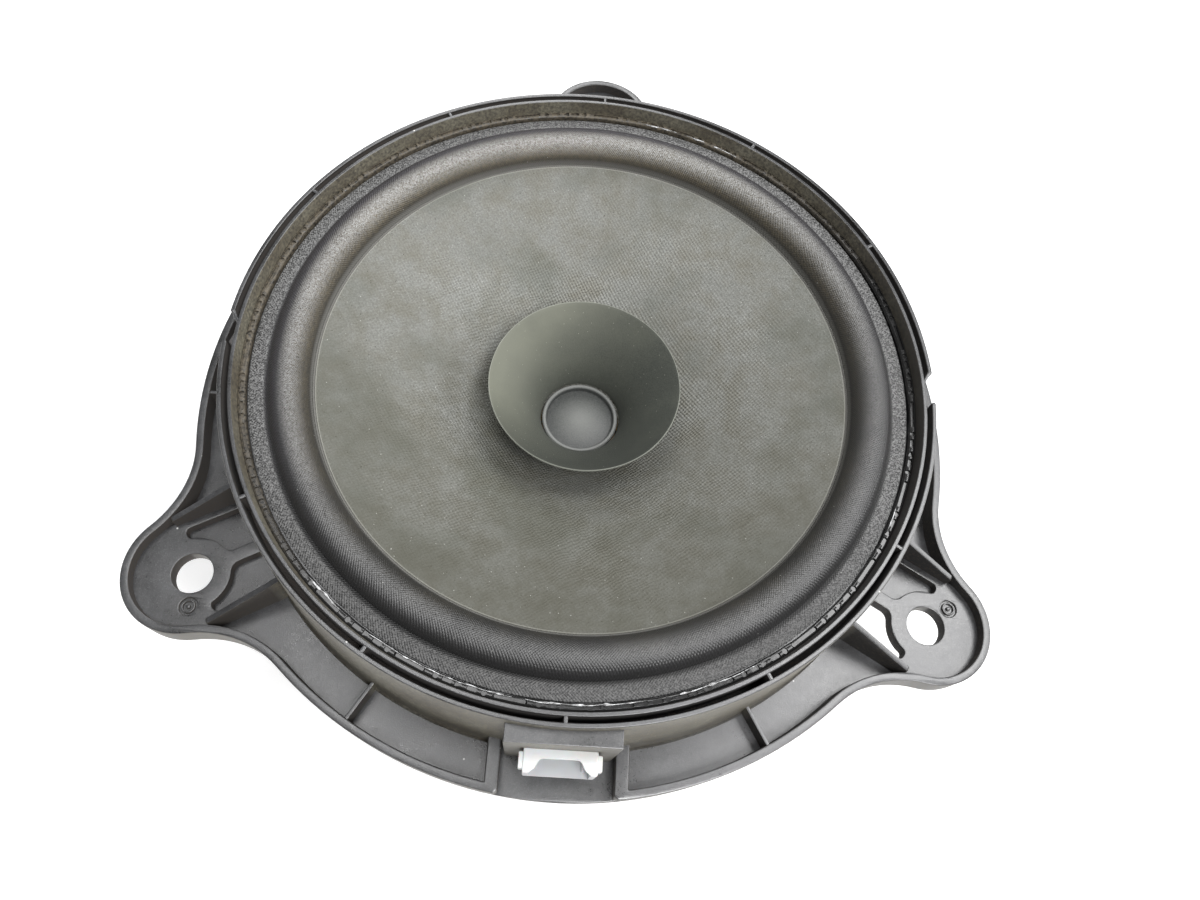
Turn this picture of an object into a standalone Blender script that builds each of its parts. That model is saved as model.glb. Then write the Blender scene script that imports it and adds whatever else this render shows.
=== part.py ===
"""Car door speaker of the 16 cm class: a tall moulded basket with three mounting ears, a paper cone with
a whizzer cone, and a ferrite motor. It stands on its back plate with the cone facing up, its rear face at
Z = 0 on the axis, and its plug socket towards -Y. Every length below is in millimetres."""

import math

import bmesh
import bpy
from mathutils import Matrix

MM = 0.001
GAP = 0.3  # between pieces that touch on the real object
BURIED = 0.5  # how far a joined shape starts inside the one that carries it
BURIED_RIB = 0.4  # less, so that its end isn't level with the end of another joined shape

# Heights above the rear face of the motor
RIM_Z = 72.0
CHANNEL_FLOOR_Z = 64.5
SEAT_Z = 67.0
BOX_TOP_Z = 69.2
LIP_Z = 47.2
EAR_FLOOR_Z = 44.2
TRAY_FLOOR_Z = 41.7
FLANGE_BACK_Z = 40.2
GUSSET_Z = 53.7
CUP_TOP_Z = 33.0
MOTOR_SEAT_Z = 24.6

# Basket, radii from the axis
RIM_R = 80.0
RIM_WALL = 0.9
CHANNEL_R = (80.9, 82.1)
OUTER_WALL_R = 83.1
WALL_FOOT_R = 84.6
WALL_INSIDE_R = 82.4
SEAT_R = 73.6
CUP_R = 36.5
CUP_BORE_R = 33.5
MOTOR_SEAT = 2.2
MOTOR_SEAT_BORE_R = 22.0
BASKET_STEPS = 48
RIM_GAP_ANGLES = (0.0, 180.0)
RIM_GAP = 8.6
RIM_GAP_Z = 62.0
RIM_RIB = 0.9

# Flange and ears
FLANGE_R = 95.3
EAR_PITCH_R = 101.1
EAR_R = 14.8
EAR_FLOOR_R = 12.6
EAR_HOLE_R = 4.65
EAR_BOSS_R = 8.7
EAR_ANGLES = (90.0, 210.0, 330.0)
FILLET_R = 25.0
LIP_WALL = 1.9
EAR_RIB_HALF = 1.6
EAR_EDGE = 1.6
POCKET_R = 85.0
OPEN_POCKET = (330.0, -1)
GUSSET_WALL = 1.4
TRAY_RIB = 1.3
TRAY_RIB_ANGLES = (240.0, 300.0, 182.9, 177.5, 2.5, -2.9, 24.0, 46.0, 68.0, 112.0, 134.0, 156.0)

# Spokes and windows between the cup and the flange
SPOKE_ANGLES = (30.0, 90.0, 150.0, 210.0, 270.0, 330.0)
SPOKE_WIDTH = 12.0
WINDOW_R = (42.5, 75.0)
SPOKE_RIB = 2.0

# Plug socket
BAY_HALF = 12.6
BAY_WALL = 3.0
BOX_HALF = 11.9
BOX_FRONT_Y = -86.1
HOUSING_HALF = 7.7
HOUSING_Z = (50.5, 60.7)
HOUSING_Y = (-90.7, -80.5)
HOUSING_WALL = 1.4
NOTCH_HALF = 4.6
NOTCH_DEPTH = 2.9
PIN_X = 2.4
PIN_SIZE = 1.0
PIN_Y = (-86.0, -77.2)

# Moving parts
SURROUND_R = 77.5
SURROUND_ROLL_R = (63.9, 73.4)
SURROUND_TOP_Z = 67.9
SURROUND_CREST_Z = 71.5
SURROUND_SKIN = 0.6
CONE_R = 63.4
CONE_EDGE_Z = 65.7
CONE_NECK_R = 10.4
CONE_NECK_Z = 38.6
CONE_SKIN = 0.5
CONE_BULGE = 2.2
WHIZZER_R = 23.7
WHIZZER_Z = 60.1
WHIZZER_NECK_Z = 40.4
WHIZZER_SKIN = 0.4
CAP_R = 10.0
CAP_Z = 40.8
CAP_BASE_R = 8.75
CAP_STEP = 1.5
CAP_DOME = 1.3
FORMER_R = (9.7, 9.95)
FORMER_Z = (16.0, 38.7)
COIL_R = (10.05, 10.75)
COIL_Z = (16.4, 28.2)
PAD_X = 3.4
PAD_HALF = 0.9
SPIDER_R = (10.3, 36.2)
SPIDER_Z = 33.9
SPIDER_WAVES = 3
SPIDER_HEIGHT = 1.1
SPIDER_SKIN = 0.5

# Motor
TOP_PLATE_R = (11.15, 35.0)
TOP_PLATE_Z = (20.3, 24.3)
MAGNET_R = (17.0, 40.0)
MAGNET_Z = (6.3, 20.0)
YOKE_R = 38.0
YOKE_PLATE = 6.0
POLE_R = 9.35
POLE_Z = 25.0
RIVET_PITCH_R = 28.0
RIVET_R = 1.6
RIVET_HEAD_R = 3.0
RIVET_HOLE_R = 2.0


def clear_scene():
    for obj in list(bpy.data.objects):
        bpy.data.objects.remove(obj, do_unlink=True)


def make_collection(name):
    found = bpy.data.collections.new(name)
    bpy.context.scene.collection.children.link(found)
    return found


def make_material(name, colour, roughness, metallic=0.0):
    made = bpy.data.materials.new(name)
    made.use_nodes = True
    shader = made.node_tree.nodes["Principled BSDF"]
    shader.inputs["Base Color"].default_value = (*colour, 1.0)
    shader.inputs["Roughness"].default_value = roughness
    shader.inputs["Metallic"].default_value = metallic
    made.diffuse_color = (*colour, 1.0)
    return made


clear_scene()
SPEAKER = make_collection("car_door_speaker")
CUTTERS = make_collection("cutters")

BLACK_PLASTIC = make_material("basket_plastic", (0.035, 0.035, 0.037), 0.5)
WHITE_PLASTIC = make_material("socket_plastic", (0.82, 0.83, 0.82), 0.4)
RUBBER = make_material("surround_rubber", (0.05, 0.05, 0.05), 0.6)
GLUE = make_material("edge_glue", (0.012, 0.012, 0.012), 0.15)
PAPER = make_material("cone_paper", (0.12, 0.12, 0.1), 0.85)
WHIZZER_PAPER = make_material("whizzer_paper", (0.06, 0.07, 0.06), 0.7)
CAP_PAPER = make_material("cap_paper", (0.08, 0.085, 0.085), 0.5)
FORMER_PAPER = make_material("former_paper", (0.35, 0.22, 0.1), 0.6)
SPIDER_CLOTH = make_material("spider_cloth", (0.5, 0.36, 0.16), 0.8)
COPPER = make_material("coil_copper", (0.7, 0.33, 0.15), 0.3, 1.0)
TIN = make_material("tinned_metal", (0.7, 0.7, 0.68), 0.3, 1.0)
STEEL = make_material("zinc_steel", (0.55, 0.54, 0.5), 0.35, 1.0)
FERRITE = make_material("ferrite", (0.03, 0.03, 0.032), 0.65)


def place(obj, material, helper):
    """Puts a new object in its collection. A helper shapes other objects and isn't a piece."""
    obj.data.materials.append(material)
    (CUTTERS if helper else SPEAKER).objects.link(obj)
    if helper:
        obj.hide_render = True
        obj.display_type = "WIRE"
    return obj


def scaled(points):
    return [tuple(value * MM for value in point) for point in points]


def turned(name, profile, material, steps, helper=False):
    """A turned piece. The profile is (radius, height), down the outer side and back up the inner side."""
    on_axis = any(radius == 0 for radius, _ in profile)
    mesh = bpy.data.meshes.new(name)
    rings = scaled([(radius, 0.0, height) for radius, height in profile])
    edges = [(i, i + 1) for i in range(len(rings) - 1)]
    if not on_axis:
        edges.append((len(rings) - 1, 0))
    mesh.from_pydata(rings, edges, [])
    obj = place(bpy.data.objects.new(name, mesh), material, helper)
    screw = obj.modifiers.new("turn", "SCREW")
    screw.steps = steps
    screw.render_steps = steps
    screw.use_merge_vertices = on_axis
    screw.merge_threshold = 0.00001
    return obj


def flat(name, outlines, low, high, material=None, matrix=None, helper=True):
    """A plate between two heights. The first outline is its edge, and the others are holes in it."""
    curve = bpy.data.curves.new(name, "CURVE")
    curve.dimensions = "2D"
    curve.fill_mode = "BOTH"
    curve.extrude = (high - low) * MM / 2
    for outline in outlines:
        spline = curve.splines.new("POLY")
        spline.points.add(len(outline) - 1)
        for point, (x, y) in zip(spline.points, outline):
            point.co = (x * MM, y * MM, 0.0, 1.0)
        spline.use_cyclic_u = True
    drawn = bpy.data.objects.new(name + "_outline", curve)
    bpy.context.scene.collection.objects.link(drawn)
    bpy.context.view_layer.update()
    evaluated = drawn.evaluated_get(bpy.context.evaluated_depsgraph_get())
    mesh = bpy.data.meshes.new_from_object(evaluated)
    bpy.data.objects.remove(drawn)
    mesh.name = name
    work = bmesh.new()
    work.from_mesh(mesh)
    bmesh.ops.remove_doubles(work, verts=work.verts, dist=0.000001)
    bmesh.ops.recalc_face_normals(work, faces=work.faces)
    work.to_mesh(mesh)
    work.free()
    mesh.transform(Matrix.Translation((0.0, 0.0, (low + high) * MM / 2)))
    if matrix:
        mesh.transform(matrix)
    return place(bpy.data.objects.new(name, mesh), material or BLACK_PLASTIC, helper)


def box(name, low, high, material=None, matrix=None, helper=True):
    """A box between two corners."""
    mesh = bpy.data.meshes.new(name)
    work = bmesh.new()
    bmesh.ops.create_cube(work, size=1.0)
    size = [(b - a) * MM for a, b in zip(low, high)]
    middle = [(a + b) * MM / 2 for a, b in zip(low, high)]
    bmesh.ops.scale(work, vec=size, verts=work.verts)
    bmesh.ops.translate(work, vec=middle, verts=work.verts)
    work.to_mesh(mesh)
    work.free()
    if matrix:
        mesh.transform(matrix)
    return place(bpy.data.objects.new(name, mesh), material or BLACK_PLASTIC, helper)


def cylinder(name, centre, radius, low, high, sides=16):
    """An upright round cutter."""
    mesh = bpy.data.meshes.new(name)
    work = bmesh.new()
    size = {"radius1": radius * MM, "radius2": radius * MM, "depth": (high - low) * MM}
    bmesh.ops.create_cone(work, cap_ends=True, segments=sides, **size)
    middle = (centre[0] * MM, centre[1] * MM, (low + high) * MM / 2)
    bmesh.ops.translate(work, vec=middle, verts=work.verts)
    work.to_mesh(mesh)
    work.free()
    return place(bpy.data.objects.new(name, mesh), BLACK_PLASTIC, True)


def combine(obj, tool, operation):
    step = obj.modifiers.new(tool.name, "BOOLEAN")
    step.operation = operation
    step.solver = "EXACT"
    step.object = tool


def polar(radius, degrees, centre=(0.0, 0.0)):
    angle = math.radians(degrees)
    return (centre[0] + radius * math.cos(angle), centre[1] + radius * math.sin(angle))


def arc(radius, start, end, count, centre=(0.0, 0.0)):
    """Points on an arc, both ends included."""
    return [polar(radius, start + (end - start) * i / (count - 1), centre) for i in range(count)]


def about_axis(degrees):
    return Matrix.Rotation(math.radians(degrees), 4, "Z")


def flange_outline(inset):
    """The flange's edge, moved in by the inset: a circle with three round ears, joined by hollow fillets."""
    flange, ear, fillet = FLANGE_R - inset, EAR_R - inset, FILLET_R + inset
    reach, side = flange + fillet, ear + fillet
    turn = math.degrees(math.acos((reach**2 + EAR_PITCH_R**2 - side**2) / (2 * reach * EAR_PITCH_R)))
    fillet_x, fillet_y = polar(reach, turn)
    lean = math.degrees(math.atan2(fillet_y, fillet_x - EAR_PITCH_R))
    points = []
    for angle in EAR_ANGLES:
        ear_centre = polar(EAR_PITCH_R, angle)
        points += arc(fillet, angle + 180 - turn, angle + 180 - lean, 6, polar(reach, angle - turn))
        points += arc(ear, angle - lean, angle + lean, 17, ear_centre)[1:-1]
        points += arc(fillet, angle + 180 + lean, angle + 180 + turn, 6, polar(reach, angle + turn))
        points += arc(flange, angle + turn, angle + 120 - turn, 13)[1:-1]
    return points


def ear_point(angle, outward, across):
    """A point given along and across an ear's centre line."""
    x, y = polar(1.0, angle)
    return (outward * x - across * y, outward * y + across * x)


def ear_shape(angle, radius, inner):
    """A U-shaped outline: a half circle about the ear's hole, with straight sides towards the axis."""
    around = [(EAR_PITCH_R + x, y) for x, y in arc(radius, -90, 90, 11)]
    sides = [(inner, radius), (inner, -radius)]
    return [ear_point(angle, u, w) for u, w in around + sides]


def pocket(angle, side):
    """The sunk pocket between an ear's boss, its centre rib, its edge strip and the basket wall."""
    edge = EAR_FLOOR_R - EAR_EDGE
    rib_turn = math.degrees(math.asin(EAR_RIB_HALF / EAR_BOSS_R))
    around = arc(EAR_BOSS_R, 180 - rib_turn, 105, 7, (EAR_PITCH_R, 0.0))
    tip = EAR_PITCH_R - EAR_EDGE
    corner = [(tip, edge - 1.6), (tip - 0.5, edge - 0.4), (tip - 1.6, edge)]
    wall = [(math.sqrt(POCKET_R**2 - w**2), w) for w in (edge, edge / 2, EAR_RIB_HALF)]
    return [ear_point(angle, u, side * w) for u, w in [*around, *corner, *wall]]


def basket_profile():
    """The turned body: rim, channel, outer wall, flange root, windowed bowl, cup and motor seat."""
    channel_in, channel_out = CHANNEL_R
    return [
        (OUTER_WALL_R, RIM_Z),
        (WALL_FOOT_R, TRAY_FLOOR_Z),
        (WALL_FOOT_R, FLANGE_BACK_Z),
        (79.0, FLANGE_BACK_Z - 0.8),
        (CUP_R + 5.0, 27.6),
        (CUP_R, 26.4),
        (CUP_R, MOTOR_SEAT_Z),
        (MOTOR_SEAT_BORE_R, MOTOR_SEAT_Z),
        (MOTOR_SEAT_BORE_R, MOTOR_SEAT_Z + MOTOR_SEAT),
        (CUP_BORE_R, MOTOR_SEAT_Z + MOTOR_SEAT),
        (CUP_BORE_R, CUP_TOP_Z),
        (CUP_R, CUP_TOP_Z),
        (CUP_R + 4.0, 30.4),
        (78.6, 41.6),
        (WALL_INSIDE_R - 0.6, 44.5),
        (WALL_INSIDE_R - 1.6, SEAT_Z - 4.0),
        (SEAT_R + 0.6, SEAT_Z - 2.2),
        (SEAT_R, SEAT_Z - 1.2),
        (SEAT_R, SEAT_Z),
        (RIM_R - 0.7, SEAT_Z),
        (RIM_R, RIM_Z),
        (channel_in, RIM_Z),
        (channel_in, CHANNEL_FLOOR_Z),
        (channel_out, CHANNEL_FLOOR_Z),
        (channel_out, RIM_Z),
    ]


def window_outline(angle):
    """One opening of the bowl, between two spokes of even width."""
    inner, outer = WINDOW_R
    half = SPOKE_WIDTH / 2
    low = math.degrees(math.asin(half / inner))
    high = math.degrees(math.asin(half / outer))
    points = arc(inner, angle + low, angle + 60 - low, 5)
    return points + arc(outer, angle + 60 - high, angle + high, 7)


def make_flange(basket):
    """The flange's floor and lip, and the three ears with their plates, side walls, pockets and holes."""
    edge = flange_outline(0.0)
    inside = arc(WALL_FOOT_R - 1.1, 0, 352.5, 48)
    lip = [edge, flange_outline(LIP_WALL)]
    combine(basket, flat("flange_floor", [edge, inside], FLANGE_BACK_Z, TRAY_FLOOR_Z), "UNION")
    combine(basket, flat("flange_lip", lip, TRAY_FLOOR_Z - BURIED, LIP_Z), "UNION")
    for number, angle in enumerate(EAR_ANGLES, 1):
        shape = ear_shape(angle, EAR_FLOOR_R + 0.8, WALL_FOOT_R - 1.4)
        plate = flat(f"ear_plate_{number}", [shape], FLANGE_BACK_Z + BURIED, EAR_FLOOR_Z)
        combine(basket, plate, "UNION")
        for side in (-1, 1):
            combine(basket, gusset(number, angle, side), "UNION")
            depth = 30.0 if (angle, side) == OPEN_POCKET else TRAY_FLOOR_Z + 0.1
            name = f"pocket_{number}_{'left' if side > 0 else 'right'}"
            combine(basket, flat(name, [pocket(angle, side)], depth, RIM_Z), "DIFFERENCE")
        hole = cylinder(f"ear_hole_{number}", polar(EAR_PITCH_R, angle), EAR_HOLE_R, 30.0, 60.0, 20)
        combine(basket, hole, "DIFFERENCE")


def gusset(number, angle, side):
    """A wall along one side of an ear, rising from the flange's lip to the basket wall."""
    inner = WALL_FOOT_R - 1.6
    foot = FLANGE_BACK_Z + BURIED
    outline = [(inner, foot), (EAR_PITCH_R, foot), (EAR_PITCH_R, LIP_Z), (inner, GUSSET_Z)]
    upright = Matrix.Rotation(math.radians(90), 4, "X")
    low, high = sorted((-side * EAR_FLOOR_R, -side * (EAR_FLOOR_R + GUSSET_WALL)))
    name = f"gusset_{number}_{'left' if side > 0 else 'right'}"
    return flat(name, [outline], low, high, matrix=about_axis(angle) @ upright)


def radial_rib(name, angle, inner, outer, width, low, high):
    return box(name, (inner, -width / 2, low), (outer, width / 2, high), matrix=about_axis(angle))


def make_rim_ribs(basket):
    """The gaps in the outer wall at the two sides, then the ribs that bridge the rim's channel."""
    channel_in, channel_out = CHANNEL_R
    for angle in RIM_GAP_ANGLES:
        size = (RIM_GAP, RIM_GAP_Z, RIM_Z + 5.0)
        gap = radial_rib(f"rim_gap_{angle:.0f}", angle, RIM_R + RIM_WALL, FLANGE_R, *size)
        combine(basket, gap, "DIFFERENCE")
    turn = math.degrees(math.asin((RIM_GAP / 2 + 0.2) / channel_out))
    ends = [angle + side * turn for angle in RIM_GAP_ANGLES for side in (-1, 1)]
    bridges = [angle for angle in range(0, 360, 30) if angle not in RIM_GAP_ANGLES]
    for number, angle in enumerate(bridges + ends):
        size = (RIM_RIB, CHANNEL_FLOOR_Z - BURIED, RIM_Z - 0.05)
        rib = radial_rib(f"rim_rib_{number}", angle, channel_in - 0.3, channel_out + 0.4, *size)
        combine(basket, rib, "UNION")


def make_tray_ribs(basket):
    """Radial ribs across the flange's tray."""
    for number, angle in enumerate(TRAY_RIB_ANGLES):
        size = (TRAY_RIB, TRAY_FLOOR_Z - BURIED_RIB, LIP_Z - 0.3)
        rib = radial_rib(f"tray_rib_{number}", angle, WALL_FOOT_R - 0.8, FLANGE_R - 1.0, *size)
        combine(basket, rib, "UNION")


def make_spokes(basket):
    for number, angle in enumerate(SPOKE_ANGLES):
        opening = flat(f"window_{number}", [window_outline(angle)], 20.0, 60.0)
        combine(basket, opening, "DIFFERENCE")
    for number, angle in enumerate(SPOKE_ANGLES):
        inside = CUP_R - 1.0
        below = [(inside, 26.0), (CUP_R + 5.0, 25.6), (79.5, 37.0)]
        outline = [*below, (83.0, 41.0), (60.0, 37.0), (inside, 32.0)]
        upright = Matrix.Rotation(math.radians(90), 4, "X")
        half = SPOKE_RIB / 2
        rib = flat(f"spoke_rib_{number}", [outline], -half, half, matrix=about_axis(angle) @ upright)
        combine(basket, rib, "UNION")


def make_socket_bay(basket):
    """The plug's bay: side walls on the flange, no lip in front, and the box that holds the socket."""
    outer = math.sqrt(FLANGE_R**2 - (BAY_HALF + BAY_WALL) ** 2) - 0.2
    for side, name in ((-1, "bay_wall_left"), (1, "bay_wall_right")):
        low, high = sorted((side * BAY_HALF, side * (BAY_HALF + BAY_WALL)))
        wall = box(name, (low, -outer, TRAY_FLOOR_Z - BURIED_RIB), (high, -WALL_FOOT_R + 2.0, LIP_Z))
        combine(basket, wall, "UNION")
    lip_inside = -FLANGE_R + LIP_WALL + 2.0
    front = box("bay_front", (-BAY_HALF, -100.0, TRAY_FLOOR_Z), (BAY_HALF, lip_inside, LIP_Z + 2.0))
    combine(basket, front, "DIFFERENCE")
    body_low = (-BOX_HALF, BOX_FRONT_Y, TRAY_FLOOR_Z - BURIED_RIB)
    body = box("socket_box", body_low, (BOX_HALF, -WALL_FOOT_R + 3.0, BOX_TOP_Z))
    combine(basket, body, "UNION")
    reach = HOUSING_HALF + GAP
    low, high = HOUSING_Z
    hole = box("socket_hole", (-reach, -95.0, low - GAP), (reach, -70.0, high + GAP))
    combine(basket, hole, "DIFFERENCE")


def make_basket():
    basket = turned("basket", basket_profile(), BLACK_PLASTIC, BASKET_STEPS)
    make_spokes(basket)
    make_flange(basket)
    make_rim_ribs(basket)
    make_tray_ribs(basket)
    make_socket_bay(basket)
    for number in range(4):
        centre = polar(RIVET_PITCH_R, 45.0 + 90.0 * number)
        combine(basket, cylinder(f"seat_hole_{number}", centre, RIVET_HOLE_R, 20.0, 30.0, 12), "DIFFERENCE")
    return basket


def skin_below(name, line, skin, material, steps):
    """A turned skin under a line that runs from its inner end outwards."""
    lower = [(radius, height - skin) for radius, height in line]
    return turned(name, [line[-1], *reversed(lower), *line[:-1]], material, steps)


def surround_line():
    inner, outer = SURROUND_ROLL_R
    middle, half = (inner + outer) / 2, (outer - inner) / 2
    low_in, low_out = CONE_EDGE_Z - 0.3, SURROUND_TOP_Z
    points = [(CONE_R - 3.0, CONE_EDGE_Z - 1.9), (CONE_R - 0.2, CONE_EDGE_Z - 0.9)]
    for step in range(7):
        angle = math.pi * (1 - step / 6)
        base = low_in + (low_out - low_in) * step / 6
        height = (SURROUND_CREST_Z - (low_in + low_out) / 2) * math.sin(angle)
        points.append((middle + half * math.cos(angle), base + height))
    points.append((SURROUND_R, SURROUND_TOP_Z))
    return points


def cone_line():
    points = []
    for step in range(6):
        part = step / 5
        radius = CONE_NECK_R + (CONE_R - CONE_NECK_R) * part
        height = CONE_NECK_Z + (CONE_EDGE_Z - CONE_NECK_Z) * part + CONE_BULGE * math.sin(math.pi * part)
        points.append((radius, height))
    return points


def whizzer_line():
    points = []
    for step in range(6):
        part = step / 5
        radius = CONE_NECK_R + (WHIZZER_R - CONE_NECK_R) * part**1.6
        height = WHIZZER_NECK_Z + (WHIZZER_Z - WHIZZER_NECK_Z) * part
        points.append((radius, height))
    return points


def spider_line():
    inner, outer = SPIDER_R
    points = [(inner, SPIDER_Z), (inner + 2.0, SPIDER_Z)]
    count = SPIDER_WAVES * 2
    start, end = inner + 2.0, outer - 3.0
    for step in range(1, count):
        height = SPIDER_Z + SPIDER_HEIGHT * (-1) ** step
        points.append((start + (end - start) * step / count, height))
    return points + [(end, SPIDER_Z), (outer, SPIDER_Z)]


def make_moving_parts():
    skin_below("surround", surround_line(), SURROUND_SKIN, RUBBER, 40)
    skin_below("cone", cone_line(), CONE_SKIN, PAPER, 40)
    skin_below("whizzer_cone", whizzer_line(), WHIZZER_SKIN, WHIZZER_PAPER, 32)
    skin_below("spider", spider_line(), SPIDER_SKIN, SPIDER_CLOTH, 32)
    base = CAP_Z - CAP_STEP
    dome = [(x, base + y * CAP_DOME / CAP_BASE_R) for y, x in arc(CAP_BASE_R, 0, 90, 6)]
    rim = [(CAP_R - 0.35, CAP_Z), (CAP_R, CAP_Z), (CAP_R, base - 0.3), (0.0, base - 0.3)]
    turned("dust_cap", dome + rim, CAP_PAPER, 32)
    turned("voice_coil_former", ring(FORMER_R, FORMER_Z), FORMER_PAPER, 32)
    turned("voice_coil", ring(COIL_R, COIL_Z), COPPER, 32)
    for number, side in ((1, -1), (2, 1)):
        low, high = (side * PAD_X - PAD_HALF, -10.2, 35.6), (side * PAD_X + PAD_HALF, -9.75, 37.4)
        box(f"coil_solder_pad_{number}", low, high, COPPER, helper=False)


def ring(radii, heights):
    """The section of a plain ring."""
    (inner, outer), (low, high) = radii, heights
    return [(outer, high), (outer, low), (inner, low), (inner, high)]


def make_motor():
    plate = turned("top_plate", ring(TOP_PLATE_R, TOP_PLATE_Z), STEEL, 40)
    magnet_in, magnet_out = MAGNET_R
    magnet_low, magnet_high = MAGNET_Z
    chamfer = 0.8
    turned(
        "magnet",
        [
            (magnet_out - chamfer, magnet_high),
            (magnet_out, magnet_high - chamfer),
            (magnet_out, magnet_low + chamfer),
            (magnet_out - chamfer, magnet_low),
            (magnet_in, magnet_low),
            (magnet_in, magnet_high),
        ],
        FERRITE,
        40,
    )
    turned(
        "pole_yoke",
        [
            (0.0, POLE_Z),
            (POLE_R - 0.6, POLE_Z),
            (POLE_R, POLE_Z - 0.6),
            (POLE_R, YOKE_PLATE + 2.0),
            (POLE_R + 2.0, YOKE_PLATE),
            (YOKE_R - 1.0, YOKE_PLATE),
            (YOKE_R, YOKE_PLATE - 1.0),
            (YOKE_R, 1.0),
            (YOKE_R - 1.0, 0.0),
            (0.0, 0.0),
        ],
        STEEL,
        40,
    )
    top = MOTOR_SEAT_Z + MOTOR_SEAT + GAP
    foot = TOP_PLATE_Z[0] + GAP
    head = [(0.0, top + 1.5), (RIVET_HEAD_R - 1.0, top + 1.4), (RIVET_HEAD_R, top)]
    shank = [(RIVET_R, top), (RIVET_R, foot), (0.0, foot)]
    for number in range(4):
        centre = polar(RIVET_PITCH_R, 45.0 + 90.0 * number)
        combine(plate, cylinder(f"plate_hole_{number}", centre, RIVET_HOLE_R, 10.0, 30.0, 12), "DIFFERENCE")
        rivet = turned(f"motor_rivet_{number + 1}", head + shank, TIN, 12)
        rivet.location = (centre[0] * MM, centre[1] * MM, 0.0)


def make_socket():
    low_y, high_y = HOUSING_Y
    low_z, high_z = HOUSING_Z
    low, high = (-HOUSING_HALF, low_y, low_z), (HOUSING_HALF, high_y, high_z)
    housing = box("socket_housing", low, high, WHITE_PLASTIC, helper=False)
    inner = HOUSING_HALF - HOUSING_WALL
    cavity_high = (inner, high_y - 2.0, high_z - HOUSING_WALL)
    cavity = box("socket_cavity", (-inner, low_y - 2.0, low_z + HOUSING_WALL), cavity_high)
    combine(housing, cavity, "DIFFERENCE")
    wide, narrow = NOTCH_HALF + 0.5, NOTCH_HALF - 0.5
    front, back = low_y - 1.0, low_y + NOTCH_DEPTH
    notch = [(-wide, front), (wide, front), (narrow, back), (-narrow, back)]
    combine(housing, flat("socket_notch", [notch], high_z - 3.0, high_z + 2.0), "DIFFERENCE")
    middle = (low_z + high_z) / 2
    half = PIN_SIZE / 2
    for number, side in ((1, -1), (2, 1)):
        lug_low, lug_high = sorted((side * (HOUSING_HALF - 0.3), side * (HOUSING_HALF + 0.9)))
        lug_top = (lug_high, BOX_FRONT_Y - 0.6, high_z - 0.4)
        combine(housing, box(f"socket_lug_{number}", (lug_low, low_y + 0.8, middle), lug_top), "UNION")
        centre = side * PIN_X
        slot = half + GAP
        hole_low, hole_high = (centre - slot, -84.0, middle - slot), (centre + slot, -78.0, middle + slot)
        combine(housing, box(f"pin_hole_{number}", hole_low, hole_high), "DIFFERENCE")
        low, high = (centre - half, PIN_Y[0], middle - half), (centre + half, PIN_Y[1], middle + half)
        box(f"terminal_pin_{number}", low, high, TIN, helper=False)


def make_leads():
    """The two braided leads from the coil's solder pads to the terminal pins."""
    middle = sum(HOUSING_Z) / 2
    for number, side in ((1, -1), (2, 1)):
        route = [
            (side * PAD_X, -11.0, 36.5),
            (side * 3.9, -16.0, 38.8),
            (side * 4.2, -27.0, 42.0),
            (side * 4.0, -42.0, 43.6),
            (side * 3.4, -57.0, 45.6),
            (side * 2.8, -69.0, 50.4),
            (side * PIN_X, -76.8, middle),
        ]
        curve = bpy.data.curves.new(f"tinsel_lead_{number}", "CURVE")
        curve.dimensions = "3D"
        curve.bevel_depth = 0.5 * MM
        curve.bevel_resolution = 2
        curve.use_fill_caps = True
        points = smooth_route(route, 4)
        spline = curve.splines.new("POLY")
        spline.points.add(len(points) - 1)
        for point, place_at in zip(spline.points, points):
            point.co = (*[value * MM for value in place_at], 1.0)
        obj = bpy.data.objects.new(f"tinsel_lead_{number}", curve)
        place(obj, COPPER, False)


def catmull_rom(t, p, q, r, s):
    bend, swing = 2 * p - 5 * q + 4 * r - s, 3 * q - p - 3 * r + s
    return 0.5 * (2 * q + (r - p) * t + bend * t**2 + swing * t**3)


def smooth_route(route, count):
    """A Catmull-Rom curve through the route's points."""
    points = []
    ends = [route[0], *route, route[-1]]
    for a, b, c, d in zip(ends, ends[1:], ends[2:], ends[3:]):
        for step in range(count):
            t = step / count
            points.append(tuple(catmull_rom(t, *values) for values in zip(a, b, c, d)))
    return points + [route[-1]]


def make_glue():
    """The bead that closes the gap between the surround's edge and the rim."""
    inner, outer = SURROUND_R + GAP, RIM_R - 1.0
    low, high = SEAT_Z + 0.2, SURROUND_TOP_Z + 1.0
    section = [(outer, high - 0.2), (outer, low), (inner, low), (inner, high - 0.6), (inner + 0.6, high)]
    turned("edge_glue_bead", section, GLUE, BASKET_STEPS)


make_basket()
make_moving_parts()
make_motor()
make_socket()
make_leads()
make_glue()

axis = bpy.data.objects.new("cone_travel_axis", None)
SPEAKER.objects.link(axis)
for name in ("cone", "whizzer_cone", "dust_cap", "voice_coil_former", "voice_coil"):
    bpy.data.objects[name].parent = axis
for number in (1, 2):
    bpy.data.objects[f"coil_solder_pad_{number}"].parent = axis
for piece in SPEAKER.objects:
    if piece.type == "MESH":
        piece.data.shade_smooth()
        piece.data.set_sharp_from_angle(angle=math.radians(35.0))
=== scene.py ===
"""Looks of a 16 cm car door speaker: its moulded basket, paper cones, rubber surround and motor, with their
materials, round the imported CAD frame. Lengths are in millimetres until MM turns them into metres."""

import math

import bmesh
import bpy
import numpy as np
from mathutils import Matrix, Vector, noise


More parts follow.
